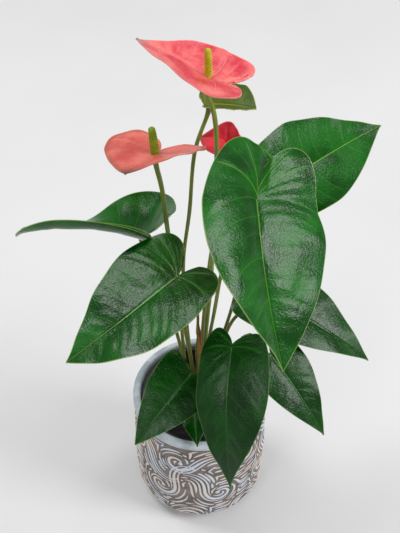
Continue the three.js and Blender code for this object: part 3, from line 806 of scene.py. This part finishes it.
def shape_stem(name, route, radius, seed, knee=1.35, foot=1.5):
    """A stem swept along its route, swollen at its foot and at the knee under the blade."""
    path = smooth_path(route)
    reach = np.concatenate([[0], np.cumsum(np.linalg.norm(np.diff(path, axis=0), axis=1))])
    from_top = reach[-1] - reach
    random = np.random.default_rng(seed + 40)
    phase = random.uniform(0, 6.28)
    swell = 1 + (foot - 1) * np.exp(-(reach / FOOT_REACH) ** 2)
    swell += (knee - 1) * np.exp(-((from_top - KNEE_BELOW_BLADE) / KNEE_REACH) ** 2)
    swell += 0.03 * np.sin(reach / 9 + phase)
    stem = start_mesh(bpy.ops.curve.primitive_nurbs_path_add, name)
    curve = stem.data
    curve.splines.clear()
    spline = curve.splines.new("POLY")
    spline.points.add(len(path) - 1)
    for point, place, size in zip(spline.points, path * MM, swell):
        point.co = (*place, 1)
        point.radius = size
    curve.dimensions = "3D"
    curve.bevel_depth = radius * MM
    curve.bevel_resolution = 5
    curve.use_fill_caps = True
    pick(stem)
    bpy.ops.object.convert(target="MESH")
    piece = bpy.context.object
    close_up(piece)
    mesh = piece.data
    places = vertex_places(mesh)
    keep_attribute(mesh, "up_stem", np.maximum(places[:, 2] - CROWN_TOP, 0))
    push_out(mesh, 0.05 * radius * rough_field(places * (1, 1, 0.15), 500, seed))
    smooth(piece, 70)
    return piece


def crown_seat(degrees, radius, sink=3):
    angle = math.radians(degrees)
    return above_crown(radius * math.cos(angle), radius * math.sin(angle), -sink)


def stem_top(sheet, thickness):
    """The last two points of a stem, square to its sheet, and the direction the sheet faces there."""
    forward, facing, _, droop, _ = sheet_frame(sheet)
    square = facing * math.cos(droop / 2) - forward * math.sin(droop / 2)
    end = sheet["base"] - square * thickness * 0.6
    return end, end - square * STRAIGHT_TOP, square


LEAVES = {
    "front_right": dict(
        base=above_crown(43, -20, 273), tip=above_crown(63, -112, 182), facing=(0.2, -0.56, 0.7),
        lobe=(40.5, 54), half_width=(55, 55), lobe_spread=(0.06, -0.3), vein_cap=(0.985, 1.13),
        lobe_lift=(7.7, -2.8), lobe_round=0.38, sinus=10, widest=0.11, tip_width=(0.4, 0.17),
        shoulder=(1.32, 1.01), skew=-0.31, bow=4.7, fold=(-0.08, 0.82), curl=(-0.31, -0.77), droop=0.43,
        seat=(330, 5), veins=14, wave=0.5, rumple=1.2,
        route=((8, -5, 86), (13, -6, 133), (18, -8, 181), (26, -10, 225)),
    ),
    "back_right": dict(
        base=above_crown(88, 76, 224), tip=above_crown(162, 112, 249), facing=(-0.2, -0.5, 0.85),
        lobe=(36, 44), half_width=(48, 42), droop=0.3, twist=0.1, seat=(40, 12),
        route=((20, 15, 62), (31, 30, 100), (42, 54, 142), (66, 72, 192)),
    ),
    "left": dict(
        base=above_crown(-47, 50, 175), tip=above_crown(-162, 42, 182), facing=(0.17, -0.48, 1),
        lobe=(4, 14.6), half_width=(32.6, 42.4), lobe_spread=(0.2, 0.34), sinus=2, widest=-0.1,
        shoulder=(1.2, 0.86), tip_width=(1.08, -0.32), fold=(0.25, 0.31), tip_fold=(0, -3.08),
        curl=(0.98, 0.32), tip_curl=(1.6, 0), bow=-2.8, twist=-0.2, droop=2.16, seat=(155, 12), wave=0.3,
        rumple=0.8, route=((-18, 14, 50), (-30, 30, 100)),
    ),
    "front_left": dict(
        base=above_crown(-20, -25, 195), tip=above_crown(-109, -80, 152), facing=(-0.36, -0.25, 0.9),
        lobe=(29, 26), half_width=(45, 50), lobe_spread=(0.12, 0.34), lobe_round=0.3, widest=0.16,
        tip_width=(0.5, 0.16), shoulder=(1.04, 1), bow=-3.5, fold=(0.15, 0.15), curl=(-0.12, -0.1),
        droop=0.25, twist=0.1, seat=(188, 12), rumple=1.2, route=((-14, -5, 50), (-17, -15, 130)),
    ),
    "low_left": dict(
        base=above_crown(-9, -30, 71), tip=beyond_rim(234, 34, 26), facing=(-0.05, -0.5, 0.86),
        lobe=(12, 9), half_width=(29, 30), lobe_spread=(0.42, 0.46), sinus=1, widest=0.08,
        tip_width=(0.3, 0.3), seat=(216, 12), wave=0.6, route=((-10, -15, 34),),
    ),
    "low_front": dict(
        base=above_crown(28, -32, 110), tip=beyond_rim(284, 48, 0), facing=(-0.38, -0.68, 0.62),
        lobe=(18, 21), half_width=(38, 30), lobe_spread=(0.38, 0.28), sinus=5, widest=0.25,
        tip_width=(0.08, 0.08), droop=0.8, seat=(306, 12), wave=0.8, route=((12, -17, 40), (20, -27, 78)),
    ),
    "low_right": dict(
        base=above_crown(68, -10, 73), tip=beyond_rim(334.5, 64, 3), facing=(0.3, -0.6, 0.72),
        lobe=(20, 20), half_width=(27.5, 26.5), widest=0.14, seat=(336, 12), wave=0.6,
        route=((27, -9, 42), (50, -11, 62)),
    ),
    "right": dict(
        base=above_crown(59, 32, 111), tip=above_crown(164, 2, 51), facing=(0.36, -0.4, 0.84),
        lobe=(16, 24), half_width=(42, 33), widest=0.12, seat=(8, 12), wave=0.8,
        route=((19, 4, 62), (31, 13, 98), (45, 23, 105)),
    ),
    "top": dict(
        base=above_crown(6, 55, 309), tip=above_crown(45, 54, 305), facing=(0.1, -0.25, 0.96),
        lobe=(8, 4), half_width=(20, 5), widest=0.3, tip_width=(1.7, 0.9), shoulder=(1.1, 1), droop=0.4,
        seat=(120, 12), veins=8, wave=0.4, quilt=0.25,
        route=((-13, 20, 92), (-15, 29, 158), (-9, 38, 212), (-4, 49, 268)),
    ),
    "rim": dict(
        base=above_crown(-5, -35, 20), tip=beyond_rim(268, 2.5, 4), facing=(-0.1, -0.3, 0.95),
        lobe=(8, 8), half_width=(14, 14), sinus=1, seat=(246, 13), veins=8, wave=0.4, quilt=0.25,
        route=((-5, -24, 12),),
    ),
}

# The low leaves take the darker copy of the leaf face, with its painted shade.
FACES = dict.fromkeys(("low_left", "low_front", "low_right", "right", "rim"), SHADED_LOW_LEAF_FACE)
FACES["top"] = OLIVE_LEAF

FLOWERS = {
    "top": dict(
        base=above_crown(6, 34, 346), tip=above_crown(-46, 46, 371), facing=(0.05, 0, 0.9),
        lobe=(30, 34), sinus=14, half_width=(49, 31.6), lobe_spread=(-0.09, 0.28), lobe_round=0.34,
        widest=-0.14, shoulder=(1.02, 1.26), tip_width=(0.83, 0.04), skew=-0.09, bow=7.8, droop=-0.4,
        fold=(0.43, 0.08), curl=(-0.14, 0.29), seat=(45, 5), veins=9, wave=0.5, quilt=0.35,
        spadix=(24, 3.0), spadix_lean=(0, -0.1, 1), finish=(CORAL, CORAL_BACK), spadix_finish=YELLOW_SPADIX,
        slots=("coral_spathe", "yellow_spadix"),
        route=((6, 3, 102), (9, 8, 140), (10.5, 14, 181), (12, 27, 236), (13.5, 37, 274), (11, 38, 310)),
    ),
    "left": dict(
        base=above_crown(-35, 20, 287), tip=above_crown(-56, -14, 294), facing=(-0.03, 0.23, 0.97),
        lobe=(31.6, 27.4), sinus=6.9, half_width=(39.8, 48), lobe_spread=(0.28, 0.23),
        widest=-0.08, shoulder=(1.06, 1), tip_width=(0.78, 0.4), droop=0.05, twist=-0.21,
        fold=(0.13, 0.1), curl=(0.22, -0.22), tip_curl=(0.14, 0), seat=(180, 5), veins=9, wave=0.5,
        quilt=0.35, spadix=(24, 3.5), spadix_lean=(-0.05, -0.05, 1), finish=(SALMON, SALMON_BACK),
        spadix_finish=GREEN_SPADIX, slots=("salmon_spathe", "green_spadix"),
        route=((-9, 2, 56), (-15, 8, 100), (-27, 25, 192), (-31, 24, 247)),
    ),
    "young": dict(
        base=above_crown(27, 60, 259), tip=above_crown(0, 60, 273), facing=(0.06, -0.81, 0.57),
        lobe=(7, 8), lobe_spread=(0.1, 0.42), half_width=(24, 17), sinus=1, widest=0.2,
        shoulder=(1.39, 1.24), tip_width=(0.98, 0.16), bow=6.3, droop=-0.48, fold=(0.5, 0.26),
        curl=(1, 0.36), seat=(100, 5), veins=6, wave=0.3, quilt=0.8, rumple=1.2,
        spadix=(11, 1.5), spadix_lean=(-0.5, -0.5, 0.5),
        finish=(RED, RED_BACK), spadix_finish=YELLOW_SPADIX, slots=("red_spathe", "yellow_spadix"),
        route=((3, 20, 80), (10, 45, 150), (21, 61, 215)),
    ),
}


def stem_route(spec, sheet, thickness, radius):
    end, before, square = stem_top(sheet, thickness)
    seat = crown_seat(*spec["seat"])
    start = seat + np.array([0, 0, radius * 3 + 3])
    return [seat, start, *(above_crown(*point) for point in spec["route"]), before, end]


def make_leaf(name, spec, seed):
    leaf = {**SHEET_DEFAULTS, **spec}
    blade = shape_sheet(f"{name}_leaf", leaf, BLADE_THICKNESS, seed=seed)
    dress(blade, FACES.get(name, LEAF_FACE), LEAF_BACK)
    finish_piece(blade, f"{name}_blade")
    route = stem_route(spec, leaf, BLADE_THICKNESS, PETIOLE_RADIUS)
    stem = shape_stem(f"{name}_leaf_stem", route, PETIOLE_RADIUS, seed)
    dress(stem, PETIOLE)
    finish_piece(stem, f"{name}_petiole")


def make_spadix(name, foot, lean, length, radius):
    """A tapered finger covered with small florets in crossing spirals."""
    piece = start_mesh(bpy.ops.mesh.primitive_grid_add, name, x_subdivisions=88, y_subdivisions=120, size=2,
                       calc_uvs=True)
    mesh = piece.data
    grid = vertex_places(mesh)
    around = (grid[:, 0] + 1) * math.pi
    share = (grid[:, 1] + 1) / 2
    dome = np.sqrt(np.clip(1 - np.maximum((share - 0.9) / 0.1, 0) ** 2, 0, 1))
    body = radius * (1 - 0.3 * share ** 2) * dome
    body = np.where(share < 0.02, radius * 0.98 * share / 0.02, body)
    pitch = length / (2 * math.pi * radius)
    few, many = FLORET_SPIRALS
    left = np.cos(few * around + many * 2 * math.pi * share * pitch * 0.62)
    right = np.cos(many * around - few * 2 * math.pi * share * pitch * 0.62)
    knob = np.clip(0.5 + 0.28 * (left + right), 0, 1)
    body = body + (knob - 0.5) * 0.6 * soft_step(share, 0.01, 0.05) * (1 - soft_step(share, 0.96, 1))
    up = unit(lean)
    across = unit(np.cross(up, (0, 1, 0.02)))
    depth = np.cross(up, across)
    sway = 0.02 * length * share ** 2
    places = (foot + np.outer(length * share, up) + np.outer(body * np.cos(around) + sway, across)
              + np.outer(body * np.sin(around), depth))
    place_vertices(mesh, places * MM)
    keep_attribute(mesh, "knob", knob)
    close_up(piece)
    smooth(piece, 80)
    return piece


def make_flower(name, spec, seed):
    sheet = {**SHEET_DEFAULTS, **spec}
    spathe = shape_sheet(f"{name}_flower_spathe", sheet, SPATHE_THICKNESS, seed=seed)
    dress(spathe, *spec["finish"])
    finish_piece(spathe, f"{name}_spathe")
    route = stem_route(spec, sheet, SPATHE_THICKNESS, FLOWER_STEM_RADIUS)
    stem = shape_stem(f"{name}_flower_stalk", route, FLOWER_STEM_RADIUS, seed, knee=1.12)
    dress(stem, FLOWER_STEM)
    finish_piece(stem, f"{name}_flower_stem")
    square = stem_top(sheet, SPATHE_THICKNESS)[2]
    length, radius = spec["spadix"]
    foot = sheet["base"] + square * 0.2
    spadix = make_spadix(f"{name}_flower_spadix", foot, spec["spadix_lean"], length + 1, radius)
    dress(spadix, spec["spadix_finish"])
    finish_piece(spadix, f"{name}_spadix")


def make_sheath():
    sheet = {
        **SHEET_DEFAULTS, "base": above_crown(0.5, -13.5, 4), "tip": above_crown(-2, -8, 131),
        "facing": (0, -1, 0), "lobe": (3, 3), "sinus": 1, "half_width": (4, 4), "widest": 0.2, "droop": -0.1,
        "fold": (-0.3, -0.3), "curl": (-0.8, -0.8), "wave": 0.35, "quilt": 0.1, "veins": 5,
    }
    sheath = shape_sheet("papery_sheath", sheet, SHEATH_THICKNESS, columns=24, rows=70, seed=31)
    dress(sheath, SHEATH_PAPER, SHEATH_PAPER)
    finish_piece(sheath, "sheath")


for number, (leaf_name, leaf_spec) in enumerate(LEAVES.items()):
    make_leaf(leaf_name, leaf_spec, number)
for number, (flower_name, flower_spec) in enumerate(FLOWERS.items()):
    make_flower(flower_name, flower_spec, 20 + number)
make_sheath()


# ---------------------------------------------------------------- relief of the cover pot

CELL = 0.4
RELIEF_TALL = 150.0
RELIEF_DEPTH = 1.0
GROUND_DEPTH = 0.6
BAND_HEIGHT = 7
POT_CORNER = 23
POT_WALL = 7.5
POT_FLOOR = 8
RIM_ROUND = 3
EYE_RADIUS = 3.1
SCROLL_STEP = 0.35
STROKE_STEP = 0.6
SCROLL_COLUMNS, SCROLL_ROWS = 7, 3
pot_height = (RIM_TOP - POT_BOTTOM) / MM
belly = BELLY_RADIUS / MM
girth = 2 * math.pi * belly


class ScrollField:
    """The unrolled wall as a grid of relief heights, closed round the pot, with the run of the scrolls."""

    def __init__(self):
        self.across = int(girth / CELL)
        self.up = int(RELIEF_TALL / CELL)
        self.cell = girth / self.across
        self.height = np.zeros((self.up, self.across))
        self.nearest = np.full((self.up, self.across), 99.0)
        self.run = np.zeros((self.up, self.across))

    def window(self, s, z, reach):
        column, row = s / self.cell, z / CELL
        span = int(reach / CELL) + 1
        rows = np.arange(max(int(row) - span, 0), min(int(row) + span + 1, self.up))
        columns = np.arange(int(column) - span, int(column) + span + 1)
        distance = np.hypot((rows[:, None] - row) * CELL, (columns[None, :] - column) * self.cell)
        return np.ix_(rows, columns % self.across), distance

    def stamp(self, s, z, half_width, height):
        if not 0 <= z < RELIEF_TALL:
            return
        cells, distance = self.window(s, z, half_width)
        dome = height * np.clip(1 - (distance / half_width) ** 2, 0, 1) ** 0.6
        self.height[cells] = np.maximum(self.height[cells], dome)

    def steer(self, s, z, angle, reach=13):
        if not 0 <= z < RELIEF_TALL:
            return
        cells, distance = self.window(s, z, reach)
        closer = distance < self.nearest[cells]
        self.nearest[cells] = np.where(closer, distance, self.nearest[cells])
        self.run[cells] = np.where(closer, angle, self.run[cells])

    def clear(self, s, z, gap):
        if not gap < z < RELIEF_TALL - gap:
            return False
        cells, distance = self.window(s, z, gap)
        return not np.any(self.height[cells][distance < gap] > 0.05)

    def angle_at(self, s, z):
        return self.run[int(z / CELL) % self.up, int(s / self.cell) % self.across]


def draw_scroll(field, s, z, angle, hand, size, length):
    """An S-scroll with a round eye: it winds out of the eye, then bends back the other way and thins out."""
    field.stamp(s, z, EYE_RADIUS, 1.0)
    path = []
    travelled = 0.0
    while travelled < length:
        share = travelled / length
        wind = 1 / (4.2 + size * travelled)
        back = -0.07 * soft_step(share, 0.45, 1.0)
        angle += hand * (wind * (1 - soft_step(share, 0.4, 0.75)) + back) * SCROLL_STEP
        s += math.cos(angle) * SCROLL_STEP
        z += math.sin(angle) * SCROLL_STEP
        travelled += SCROLL_STEP
        path.append((s, z, angle, share))
    for s, z, angle, share in path:
        width = 0.9 + 1.5 * math.sin(math.pi * min(share * 1.15, 1)) ** 0.8
        field.stamp(s, z, width, 1.0)
        field.steer(s, z, angle)
    for offset, first, last, thick in ((4.6, 0.2, 0.92, 1.5), (-4.5, 0.45, 0.98, 1.4)):
        for s, z, angle, share in path:
            if first < share < last:
                part = (share - first) / (last - first)
                swell = math.sin(math.pi * part)
                lean = -offset * hand * (0.75 + 0.25 * swell)
                field.stamp(s - math.sin(angle) * lean, z + math.cos(angle) * lean,
                            thick * (0.35 + 0.65 * swell), 0.85)


def fill_with_strokes(field, random, tries):
    """Fine strokes that run beside the scrolls and stop short of each other, with a dot here and there."""
    for _ in range(tries):
        s, z = random.uniform(0, girth), random.uniform(2, RELIEF_TALL - 3)
        if not field.clear(s, z, 2.5):
            continue
        halves = []
        for way in (1, -1):
            walk_s, walk_z, trail = s, z, []
            for _ in range(26):
                angle = field.angle_at(walk_s, walk_z) + (0 if way == 1 else math.pi)
                walk_s += math.cos(angle) * STROKE_STEP
                walk_z += math.sin(angle) * STROKE_STEP
                if not field.clear(walk_s, walk_z, 1.9):
                    break
                trail.append((walk_s, walk_z))
            halves.append(trail)
        trail = halves[1][::-1] + [(s, z)] + halves[0]
        if len(trail) < 7:
            if field.clear(s, z, 3.0):
                field.stamp(s, z, random.uniform(1.7, 2.5), 0.95)
            continue
        thick = random.uniform(1.2, 1.8)
        for index, (walk_s, walk_z) in enumerate(trail):
            part = index / (len(trail) - 1)
            field.stamp(walk_s, walk_z, thick * (0.35 + 0.75 * math.sin(math.pi * part ** 0.7)), 0.9)


def scrolled_wall():
    field = ScrollField()
    random = np.random.default_rng(5)
    for row in range(SCROLL_ROWS):
        for column in range(SCROLL_COLUMNS):
            s = girth * (column + 0.5 * (row % 2) + random.uniform(-0.12, 0.12)) / SCROLL_COLUMNS
            z = 22 + 48 * row + random.uniform(-4, 4)
            hand = 1 if (column + row) % 2 else -1
            draw_scroll(field, s, z, random.uniform(0, 2 * math.pi), hand, random.uniform(0.19, 0.25),
                        random.uniform(96, 126))
    fill_with_strokes(field, random, 9000)
    height = field.height
    for axis in (0, 1):
        height = 0.25 * np.roll(height, 1, axis) + 0.5 * height + 0.25 * np.roll(height, -1, axis)
    return field, height


def profile_arc(centre_radius, centre_height, size, start, end, steps):
    """An arc of a profile, from one angle to another in degrees."""
    turns = [math.radians(angle) for angle in np.linspace(start, end, steps)]
    return [(centre_radius + size * math.cos(turn), centre_height + size * math.sin(turn)) for turn in turns]


def dense(profile, spacing):
    """The profile with points at most spacing apart."""
    points = [profile[0]]
    for (r0, z0), (r1, z1) in zip(profile, profile[1:]):
        count = max(1, math.ceil(math.hypot(r1 - r0, z1 - z0) / spacing))
        for step in range(1, count + 1):
            points.append((r0 + (r1 - r0) * step / count, z0 + (z1 - z0) * step / count))
    return points


def spin_profile(name, profile, steps):
    """Spins a profile of (radius, height) in millimetres above the pot's foot round its axis."""
    piece = start_mesh(bpy.ops.mesh.primitive_plane_add, name, size=2 * MM)
    mesh = piece.data
    mesh.clear_geometry()
    mesh.from_pydata([(AXIS[0] + r * MM, AXIS[1], POT_BOTTOM + z * MM) for r, z in profile],
                     [(index, index + 1) for index in range(len(profile) - 1)], [])
    mesh.update()
    centre = (AXIS[0], AXIS[1], 0)
    whole_turn = {"steps": steps, "angle": 2 * math.pi, "center": centre, "axis": (0, 0, 1)}
    edit_whole(piece, (bpy.ops.mesh.spin, whole_turn))
    close_up(piece)
    return piece


def cover_pot_profile(corner_radius, band_bottom):
    """The carved part of the wall, and the whole profile from the foot over the rim to the inner floor."""
    rim_radius = RIM_RADIUS / MM
    cavity = rim_radius - POT_WALL
    inner_corner = max(POT_CORNER - POT_WALL, RIM_ROUND)
    wall = dense([
        *profile_arc(corner_radius, POT_CORNER, POT_CORNER, -84, 0, 14),
        (belly, pot_height * 0.45),
        (rim_radius - 1.0, band_bottom - 1.4),
    ], 0.92)
    rim = [
        *profile_arc(rim_radius - 1.2, band_bottom + 0.2, 1.2, -60, 0, 4),
        *profile_arc(rim_radius - RIM_ROUND, pot_height - RIM_ROUND, RIM_ROUND, 0, 90, 6),
        *profile_arc(cavity + RIM_ROUND, pot_height - RIM_ROUND, RIM_ROUND, 90, 180, 6),
        *profile_arc(cavity - inner_corner, POT_FLOOR + inner_corner, inner_corner, 0, -90, 6),
        (0, POT_FLOOR),
    ]
    foot = [(0, 1.5), (corner_radius - 8, 1.5), (corner_radius - 6, 0.0)]
    return wall, [*foot, *wall, *rim]


def read_relief(around, reach):
    """The height of the scrolls at each place round the pot and up its wall, blended from the nearest cells."""
    field, relief = scrolled_wall()
    column = around / field.cell
    row = np.clip(reach / CELL, 0, field.up - 2)
    low_column, low_row = np.floor(column).astype(int), np.floor(row).astype(int)
    part_column, part_row = column - low_column, row - low_row
    carved = np.zeros(len(around))
    for over, share_row in ((0, 1 - part_row), (1, part_row)):
        for along, share_column in ((0, 1 - part_column), (1, part_column)):
            carved += relief[low_row + over, (low_column + along) % field.across] * share_row * share_column
    return carved


def make_cover_pot():
    corner_radius = belly - POT_CORNER
    band_bottom = pot_height - BAND_HEIGHT
    wall, profile = cover_pot_profile(corner_radius, band_bottom)
    pot = spin_profile("scrolled_cover_pot", profile, 500)
    mesh = pot.data
    places = vertex_places(mesh)
    normals = vertex_normals(mesh)
    out = places[:, :2] - AXIS[:2]
    radius = np.hypot(out[:, 0], out[:, 1]) / MM
    height = (places[:, 2] - POT_BOTTOM) / MM
    wall_radius, wall_height = np.array(wall).T
    wall_reach = np.concatenate([[0], np.cumsum(np.hypot(np.diff(wall_radius), np.diff(wall_height)))])
    reach = np.interp(height, wall_height, wall_reach)
    around = (np.arctan2(out[:, 1], out[:, 0]) % (2 * math.pi)) * belly

    on_wall = (height < band_bottom - 0.5) & (normals[:, 0] * out[:, 0] + normals[:, 1] * out[:, 1] > 0)
    on_wall &= radius > corner_radius - 3
    above_foot = on_wall * soft_step(reach, 0, 3)
    carved = read_relief(around, reach) * above_foot
    carved *= 1 - soft_step(height, band_bottom - 5, band_bottom - 1.5)
    sunk = above_foot * (1 - soft_step(height, band_bottom - 3, band_bottom - 0.5))
    push_out(mesh, carved * RELIEF_DEPTH - GROUND_DEPTH * sunk)
    keep_attribute(mesh, "relief", np.clip(carved, 0, 1))
    keep_attribute(mesh, "band", soft_step(height, band_bottom - 1.5, band_bottom + 0.5))
    smooth(pot, 60)
    dress(pot, CERAMIC)
    finish_piece(pot, "decorative_pot")


make_cover_pot()


# ---------------------------------------------------------------- grow pot, mix and crown

CHIP_COUNT = 260
CHIPS_FROM = 20


def make_grow_pot():
    top = (grow_high[2] - POT_BOTTOM) / MM
    bottom = (grow_low[2] - POT_BOTTOM) / MM
    lip = (grow_high[0] - grow_low[0]) / 2 / MM
    wall = lip - 3
    base = wall - 14
    profile = dense([
        (0, bottom), (base - 1, bottom), (base, bottom + 1), (wall, top - 6),
        (lip - 0.4, top - 6), (lip, top - 5.4), (lip, top - 0.8), (lip - 0.5, top - 0.1),
        (lip - 1.2, top - 0.3), (lip - 1.6, top - 1.0),
        (wall - 0.6, top - 0.9), (wall - 0.9, top - 0.2), (wall - 1.3, top - 0.5),
        (wall - 1.6, top - 2), (wall - 2.2, top - 30), (base - 1.4, bottom + 1.4), (0, bottom + 1.4),
    ], 12)
    pot = spin_profile("plastic_grow_pot", profile, 96)
    smooth(pot, 40)
    dress(pot, PLASTIC)
    finish_piece(pot, "grow_pot")


def scatter_chips(outer):
    """Loose chips of bark, each one squashed, roughened and turned by chance, over the top of the mix."""
    random = np.random.default_rng(8)
    chip = start_mesh(bpy.ops.mesh.primitive_ico_sphere_add, "bark_chip", subdivisions=1, radius=MM)
    rough = vertex_places(chip.data)
    chips = []
    for number in range(CHIP_COUNT):
        crumb = bpy.data.objects.new(f"chip_{number}", chip.data.copy())
        bpy.context.scene.collection.objects.link(crumb)
        distance = math.sqrt(random.uniform((CHIPS_FROM / outer) ** 2, 1)) * (outer - 3)
        turn = random.uniform(0, 2 * math.pi)
        size = random.uniform(0.7, 2.6) * np.array([1, random.uniform(0.5, 1), random.uniform(0.3, 0.7)])
        heading = random.uniform(0, math.pi)
        shaped = rough * size * random.uniform(0.8, 1.2, rough.shape)
        swing = np.array([
            [math.cos(heading), -math.sin(heading), 0],
            [math.sin(heading), math.cos(heading), 0],
            [0, 0, 1],
        ])
        middle = [AXIS[0] + distance * math.cos(turn) * MM, AXIS[1] + distance * math.sin(turn) * MM,
                  mix_high[2] - (1.2 + 2.2 * distance / outer - 0.5) * MM]
        place_vertices(crumb.data, shaped @ swing.T + middle)
        dress(crumb, CHIP)
        chips.append(crumb)
    bpy.data.objects.remove(chip)
    return chips


def make_mix():
    bottom = (mix_low[2] - POT_BOTTOM) / MM
    top = (mix_high[2] - POT_BOTTOM) / MM
    outer = (mix_high[0] - mix_low[0]) / 2 / MM
    profile = dense([(0, bottom), (outer - 12, bottom), (outer, top - 4), (outer - 1, top - 3)], 8)
    profile += dense([(outer - 1, top - 3), (34, top - 1.2), (17, top), (0, top)], 1.4)[1:]
    body = spin_profile("potting_mix_body", profile, 150)
    mesh = body.data
    places = vertex_places(mesh)
    height = (places[:, 2] - POT_BOTTOM) / MM
    radius = np.hypot(*(places[:, :2] - AXIS[:2]).T) / MM
    upper = soft_step(height, top - 6, top - 3.5) * (1 - soft_step(radius, outer - 3, outer - 0.5))
    upper *= soft_step(radius, 14, 19)
    lumps = 1.6 * rough_field(places, 90, 2)
    lumps = lumps + 0.9 * rough_field(places, 260, 4) + 0.5 * rough_field(places, 600, 6)
    places[:, 2] += (lumps - 0.4) * upper * MM
    place_vertices(mesh, places)
    smooth(body, 60)
    dress(body, MIX)

    chips = scatter_chips(outer)
    pick(body)
    for crumb in chips:
        crumb.select_set(True)
    bpy.ops.object.join()
    finish_piece(body, "potting_mix")


def make_crown():
    height = (crown_high[2] - crown_low[2]) / MM
    bottom = (crown_low[2] - POT_BOTTOM) / MM
    outer = (crown_high[0] - crown_low[0]) / 2 / MM
    profile = [(0, bottom), (outer * 0.86, bottom)]
    for share in np.linspace(0, 1, 22):
        ring = 0.5 * math.sin(share * 6 * math.pi) ** 2
        swell = 0.9 + 0.08 * math.sin(math.pi * share)
        profile.append((outer * swell - ring, bottom + 0.3 + (height - 1.5) * share))
    profile += dense([(outer * 0.86, bottom + height - 0.6), (0, bottom + height - 0.2)], 1.2)
    piece = spin_profile("leafy_crown", profile, 72)
    mesh = piece.data
    places = vertex_places(mesh)
    push_out(mesh, 0.7 * rough_field(places, 180, 5) + 0.3 * rough_field(places, 500, 9))
    smooth(piece, 60)
    dress(piece, CROWN_BARK)
    finish_piece(piece, "crown")


make_grow_pot()
make_mix()
make_crown()


# ---------------------------------------------------------------- studio

LIGHT_DISTANCE = 3
LIGHT_SHARE = 1.25
LIT_ABOVE_FLOOR = 0.3
AIR_LIGHT = 0.38
BACKDROP = 0.8
SOFTBOXES = {
    "left_softbox": ((-0.45, 0.22, 0.87), (1.1, 1.1), 28),
    "right_softbox": ((0.76, -0.25, 0.6), (1.0, 1.5), 38),
    "front_softbox": ((-0.42, -0.62, 0.66), (0.9, 0.9), 9),
    "back_softbox": ((0.35, 0.3, 0.89), (0.65, 1.0), 10),
}


def lay_studio_floor():
    floor = start_mesh(bpy.ops.mesh.primitive_plane_add, "studio_floor", size=8,
                       location=(AXIS[0], AXIS[1], POT_BOTTOM - 0.3 * MM))
    material, tree, shader = new_material("studio_paper", roughness=0.9, specular_ior_level=0.1)
    mottle = mottled(tree, shade(226, 226, 227), shade(229, 229, 230), 3.0, 300.0, 0.1)
    tree.links.new(mottle["Color"], shader.inputs["Base Color"])
    dress(floor, material)


def hang_softbox(name, way, size, power):
    """A soft lamp that looks at the middle of the plant from the given way."""
    middle = (AXIS[0], AXIS[1], POT_BOTTOM + LIT_ABOVE_FLOOR)
    place = np.array(middle) + unit(way) * LIGHT_DISTANCE
    data = bpy.data.lights.new(name, "AREA")
    data.shape = "RECTANGLE"
    data.size, data.size_y = size
    data.energy = power * LIGHT_SHARE
    lamp = bpy.data.objects.new(name, data)
    bpy.context.scene.collection.objects.link(lamp)
    lamp.location = place
    lamp.rotation_euler = (Vector(middle) - Vector(place)).to_track_quat("-Z", "Y").to_euler()


def fill_with_air():
    """An even white light all round, and a brighter backdrop where it is seen past the floor."""
    world = bpy.data.worlds.new("studio_air")
    world.use_nodes = True
    tree = world.node_tree
    air = tree.nodes["Background"]
    seen = add_node(tree, "ShaderNodeLightPath").outputs["Is Camera Ray"]
    air.inputs["Color"].default_value = (1, 1, 1, 1)
    tree.links.new(fall_off(tree, seen, 0.0, 1.0, AIR_LIGHT, BACKDROP), air.inputs["Strength"])
    bpy.context.scene.world = world


lay_studio_floor()
for name, (way, size, power) in SOFTBOXES.items():
    hang_softbox(name, way, size, power)
fill_with_air()
bpy.context.scene.view_settings.view_transform = "Standard"
